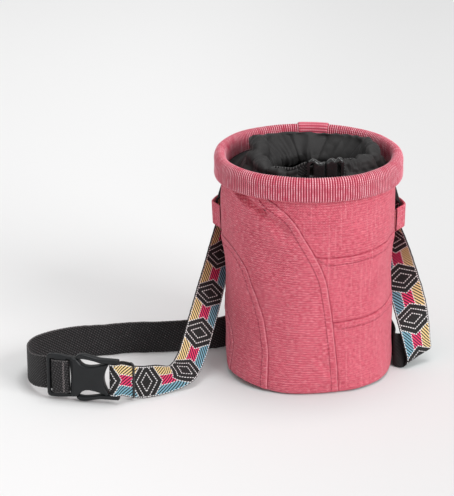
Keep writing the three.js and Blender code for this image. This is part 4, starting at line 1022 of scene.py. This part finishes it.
side_edge = [(17, MOUTH_HALF), (13.5, 10.6), (10, 9.6), (6, 9.0), (2.6, 9.3), (0.3, 10.6), (-1.6, 13), (-3.4, 14.7),
             (SLIT_END + 0.4, 15)]
housing = [*[(x, -z) for x, z in side_edge[::-1]], *mouth_edge, *side_edge]
buckle_pieces.append(moulded("buckle_housing", [rounded(housing, 0.8, 3)], 7.0, 1.9, BUCKLE_AT, BUCKLE_TURN))
ARM = [(-3.9, 14.6), (-2.2, 13.9), (1.2, 14.4), (5.5, 13.9), (9.5, 13.2), (13.6, 12.1), (20, 11.9), (27.3, 11.9),
       (27.3, 15.3), (20, 15.4), (13.5, 15.5), (9.3, 16.3), (5.3, 17.3), (1.6, 18.0), (-1.6, 17.6), (-3.6, 16.3)]
for name, sign in (("buckle_arm_upper", 1), ("buckle_arm_lower", -1)):
    arm = rounded([(x, sign * z) for x, z in ARM][::sign], 1.3, 4)
    buckle_pieces.append(moulded(name, [arm], 5.0, 1.3, BUCKLE_AT, BUCKLE_TURN))
bar = box_of(PLUG_BAR - 1, PLUG_BAR + 1, 14.4)
buckle_pieces.append(moulded("buckle_bar", [bar], 2.0, 0.9, BUCKLE_AT, BUCKLE_TURN))
for piece in buckle_pieces:
    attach(piece, "root")
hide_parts("buckle_socket")
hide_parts("buckle_plug")

# Bar tack. A zigzag of pale thread across the black webbing, which closes its end round the socket's bar. It shows
# through the slit in the socket.
TACK_PITCH = 1.05
TACK_WIDE = 2.1
tack_thread = Finish("tack_thread", {"Roughness": 0.7})
tack_u, tack_v = tack_thread.cloth()
tack_twist = tack_thread.waves(tack_u * 2 + tack_v, 1.1)
tack_thread.colour(tack_thread.mix((0.10, 0.09, 0.09), (0.42, 0.36, 0.36), tack_twist))
tack = []
tack_out = (math.sin(BUCKLE_TURN), -math.cos(BUCKLE_TURN), 0)
for k, z in enumerate(np.arange(-11.6, 11.4, TACK_PITCH)):
    start, end = (at_buckle(-13.6 + TACK_WIDE * ((k + j) % 2), -NEAR - BELT_THICK / 2, 0)[:2] for j in (0, 1))
    tack.append(((*start, BUCKLE_Z + z), (*end, BUCKLE_Z + z + TACK_PITCH), tack_out))
bar_tack = stitched("bar_tack", tack, tack_thread, 0.4)
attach(bar_tack, "root")


# Keeper. A narrow ring of black elastic, sewn to itself, which holds the belt's doubled end flat beside the plug.
# It grips the webbing and can be pushed along it.
KEEPER_AT = (-124.2, -76.6 + WRAP, 14.7)
elastic = Finish("elastic", {"Roughness": 0.75, "Specular IOR Level": 0.3, "Sheen Weight": 0.2})
elastic_u, elastic_v = elastic.cloth()
elastic_ribs = elastic.waves(elastic_u, 0.5)
elastic.colour(elastic.mix((0.010, 0.010, 0.010), (0.035, 0.033, 0.033), elastic_ribs))
elastic.raised(elastic_ribs, 0.08)
(x0, y0, *_), _, (x1, y1, *_) = LEFT_STRETCH[:3]
keeper_turn = math.atan2(y1 - y0, x1 - x0)
keeper_loop = np.array(rounded([(-2.7, -12.7), (2.7, -12.7), (2.7, 12.9), (-2.7, 12.9)], 1.6, 7))
keeper_out = outwards(np.vstack([keeper_loop[-1:], keeper_loop, keeper_loop[:1]]))[1:-1]
keeper_rows = []
for a in np.linspace(0, 2 * math.pi, 13):
    wide, deep = 0.8 * math.cos(a), 0.42 * math.sin(a) + 0.1
    there = keeper_loop + keeper_out * deep
    x = KEEPER_AT[0] + wide * math.cos(keeper_turn) - there[:, 0] * math.sin(keeper_turn)
    y = KEEPER_AT[1] + wide * math.sin(keeper_turn) + there[:, 0] * math.cos(keeper_turn)
    keeper_rows.append(np.stack([x, y, KEEPER_AT[2] + there[:, 1]], 1))
keeper_points = np.array(keeper_rows)
keeper_run = np.linspace(0, 66, keeper_points.shape[1] + 1)
keeper_uv = np.stack(np.meshgrid(keeper_run, np.linspace(0, 4, 13)), -1)
keeper_ring = lofted("keeper_ring", keeper_points, keeper_uv, elastic, True)
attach(keeper_ring, "root")
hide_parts("belt_keeper")


# Side loops and sleeve. Strips of the bag's canvas, turned in at their edges: the belt goes up through a loop at each
# side, and through a wide sleeve across the back whose top is caught under the rim tape.
LOOP_ARCH = [(1, 0), (5, 0.28), (10, 0.81), (14, 0.9), (22, 0.88), (32, 0.81), (38, 0.66), (43, 0)]


def strip(name, path, low, high, thick, node):
    """An upright strip of canvas along a path of turn and stand-off, with soft edges."""
    path = smooth([(t * PER_DEGREE, stand) for t, stand in path], 6)
    up = np.concatenate([[low], np.linspace(low + 0.6, high - 0.6, 9), [high]])
    into_edge = np.clip((np.abs(up - (low + high) / 2) - (high - low) / 2 + 0.8) / 0.8, 0, 1)
    half = thick / 2 * np.sqrt(np.clip(1 - into_edge**2, 0.05, 1))
    zs = np.concatenate([up, up[::-1]])
    outs = np.concatenate([thick / 2 + half, (thick / 2 - half)[::-1]])
    wall = np.interp(zs, *np.array(BODY_PROFILE).T)
    radii = wall[None] + GAP + path[:, 1][:, None] + outs[None]
    points = on_bag(path[:, :1] / PER_DEGREE, radii, np.repeat(zs[None], len(path), 0))
    uv = np.stack(np.meshgrid(np.concatenate([zs, zs[:1]]) + 400, path[:, 0] + 900), -1)
    made = lofted(name, points, uv, canvas, True, {"from_seam": np.full(points.shape[:2], NO_SEAM),
                                                   "from_front_seam": np.full(points.shape[:2], 9.0)})
    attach(made, "root")
    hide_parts(node)


for name, node, side in (("loop_left", "side_loop_left", -1), ("loop_right", "side_loop_right", 1)):
    arch = [(side_turn(side, t), stand * LOOP_DEPTH) for t, stand in LOOP_ARCH][::side]
    strip(name, arch, LOOP_FOOT, LOOP_FOOT + LOOP_HEIGHT, 1.5, node)

# The sleeve's height and how far its inner face stands off the wall there.
sleeve_z = np.array([113.6, 114.6, 117.5, 118.6, 119.6, 125, 132, 139, 144.4])
sleeve_in = np.array([0.35, 0.4, 0.45, 3.5, 6.0, 6.1, 6.1, 6.1, 5.8])
SLEEVE_R, SLEEVE_THICK = 62.2, 1.3
sleeve_turn = np.linspace(62, 118, 41)
sleeve_heights = sleeve_z + 0 * sleeve_turn[:, None]
sleeve_low, sleeve_high = (on_bag(sleeve_turn[:, None], SLEEVE_R + sleeve_in[None] + out, sleeve_heights)
                           for out in (0, SLEEVE_THICK))
sleeve_points = np.concatenate([sleeve_high, sleeve_low[:, ::-1]], 1)
sleeve_v = np.concatenate([sleeve_z, sleeve_z[::-1], sleeve_z[:1]])
sleeve_uv = np.stack(np.meshgrid(sleeve_v, sleeve_turn * PER_DEGREE), -1)
belt_sleeve = lofted("back_sleeve", sleeve_points, sleeve_uv, canvas, True,
                     {"from_seam": np.full(sleeve_points.shape[:2], NO_SEAM),
                      "from_front_seam": np.full(sleeve_points.shape[:2], 9.0)})
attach(belt_sleeve, "root")
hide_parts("belt_sleeve")


# Cinch. A narrow black strap across the front of the collar with a small side-release buckle, which lets the mouth be
# drawn shut.
CINCH_Z = 160.8
CINCH_Y = -35.8
CINCH_X = 9.5
small_socket = rounded([(-12.6, -8.3), (-7, -8.5), (-4.6, -6.4), (0, -6.2), (0, 5.4), (-2.4, 4.6), (-4.6, 5.0),
                        (-6.4, 6.6), (-9.2, 7.6), (-12.4, 4.6)], 1.9, 5)
small_plug = rounded([(0.25, -6.1), (3.8, -8.5), (12.5, -7.4), (12.9, 6.2), (11.2, 8.4), (8.6, 8.7), (7.2, 6.6),
                      (5.4, 7.9), (3.2, 7.7), (0.25, 5.4)], 1.9, 5)
cinch_at = (CINCH_X, CINCH_Y, CINCH_Z)
polished = Finish("polished_acetal", {"Roughness": 0.22, "Specular IOR Level": 0.6})
smear = polished.grain(260.0, 3.0)
polished.colour(polished.mix((0.010, 0.010, 0.010), (0.024, 0.024, 0.025), smear))
polished.raised(smear, 0.12)
socket_slit, plug_slit = rounded(box_of(-11, -8.8, 4.2), 0.5), rounded(box_of(8.6, 10.6, 4.6), 0.5)
cinch_socket = moulded("cinch_socket", [small_socket, socket_slit], 5.0, 1.7, cinch_at, 0, polished)
cinch_plug = moulded("cinch_plug", [small_plug, plug_slit], 5.0, 1.7, cinch_at, 0, polished)
for piece, node in ((cinch_socket, "cinch_buckle_socket"), (cinch_plug, "cinch_buckle_plug")):
    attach(piece, "root")
    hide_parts(node)

narrow = Finish("narrow_webbing", {"Roughness": 0.78, "Specular IOR Level": 0.3, "Sheen Weight": 0.15})
narrow_u, narrow_v = narrow.cloth()
mesh_lines = narrow.waves(narrow_u + narrow_v, 2.0) * narrow.waves(narrow_u - narrow_v, 2.0)
narrow.colour(narrow.mix((0.007, 0.007, 0.007), (0.13, 0.125, 0.125), narrow.step(mesh_lines, 0.45, 0.85)))
narrow.raised(mesh_lines, 0.15)
STRAP_STAND = 4.3  # off the roll
STRAP_DROOP = 5.5  # of the left strap
ring = [(0.5 * math.cos(a), np.clip(7 * math.sin(a), -5, 5)) for a in np.linspace(0, 2 * math.pi, 21)[:-1]]
ring_v = np.array([h for _, h in ring] + [ring[0][1]])
for name, node, side, end in (("cinch_left", "cinch_strap_left", -1, -26),
                              ("cinch_right", "cinch_strap_right", 1, 36)):
    start = (CINCH_X + side * 12.8, CINCH_Y)
    hug = [(-2.7 + (49 + STRAP_STAND) * math.sin(a), 6 - (35 + STRAP_STAND) * math.cos(a))
           for a in np.radians([end * 0.75, end])]
    path = smooth([start, (start[0] + side * 0.3, start[1]), *hug], 10)
    droop = STRAP_DROOP * fade(np.abs(path[:, 0] - start[0]), 0, 12) * (side < 0)
    points = np.array([[(p[0] + o[0] * d, p[1] + o[1] * d, CINCH_Z + h - low) for d, h in ring]
                       for p, o, low in zip(path, outwards(path) * side, droop)])
    if side < 0:
        points = points[:, ::-1]
    cinch = lofted(name, points, np.stack(np.meshgrid(ring_v, run_along(path)), -1)[..., ::-1], narrow, True)
    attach(cinch, "root")
    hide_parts(node)
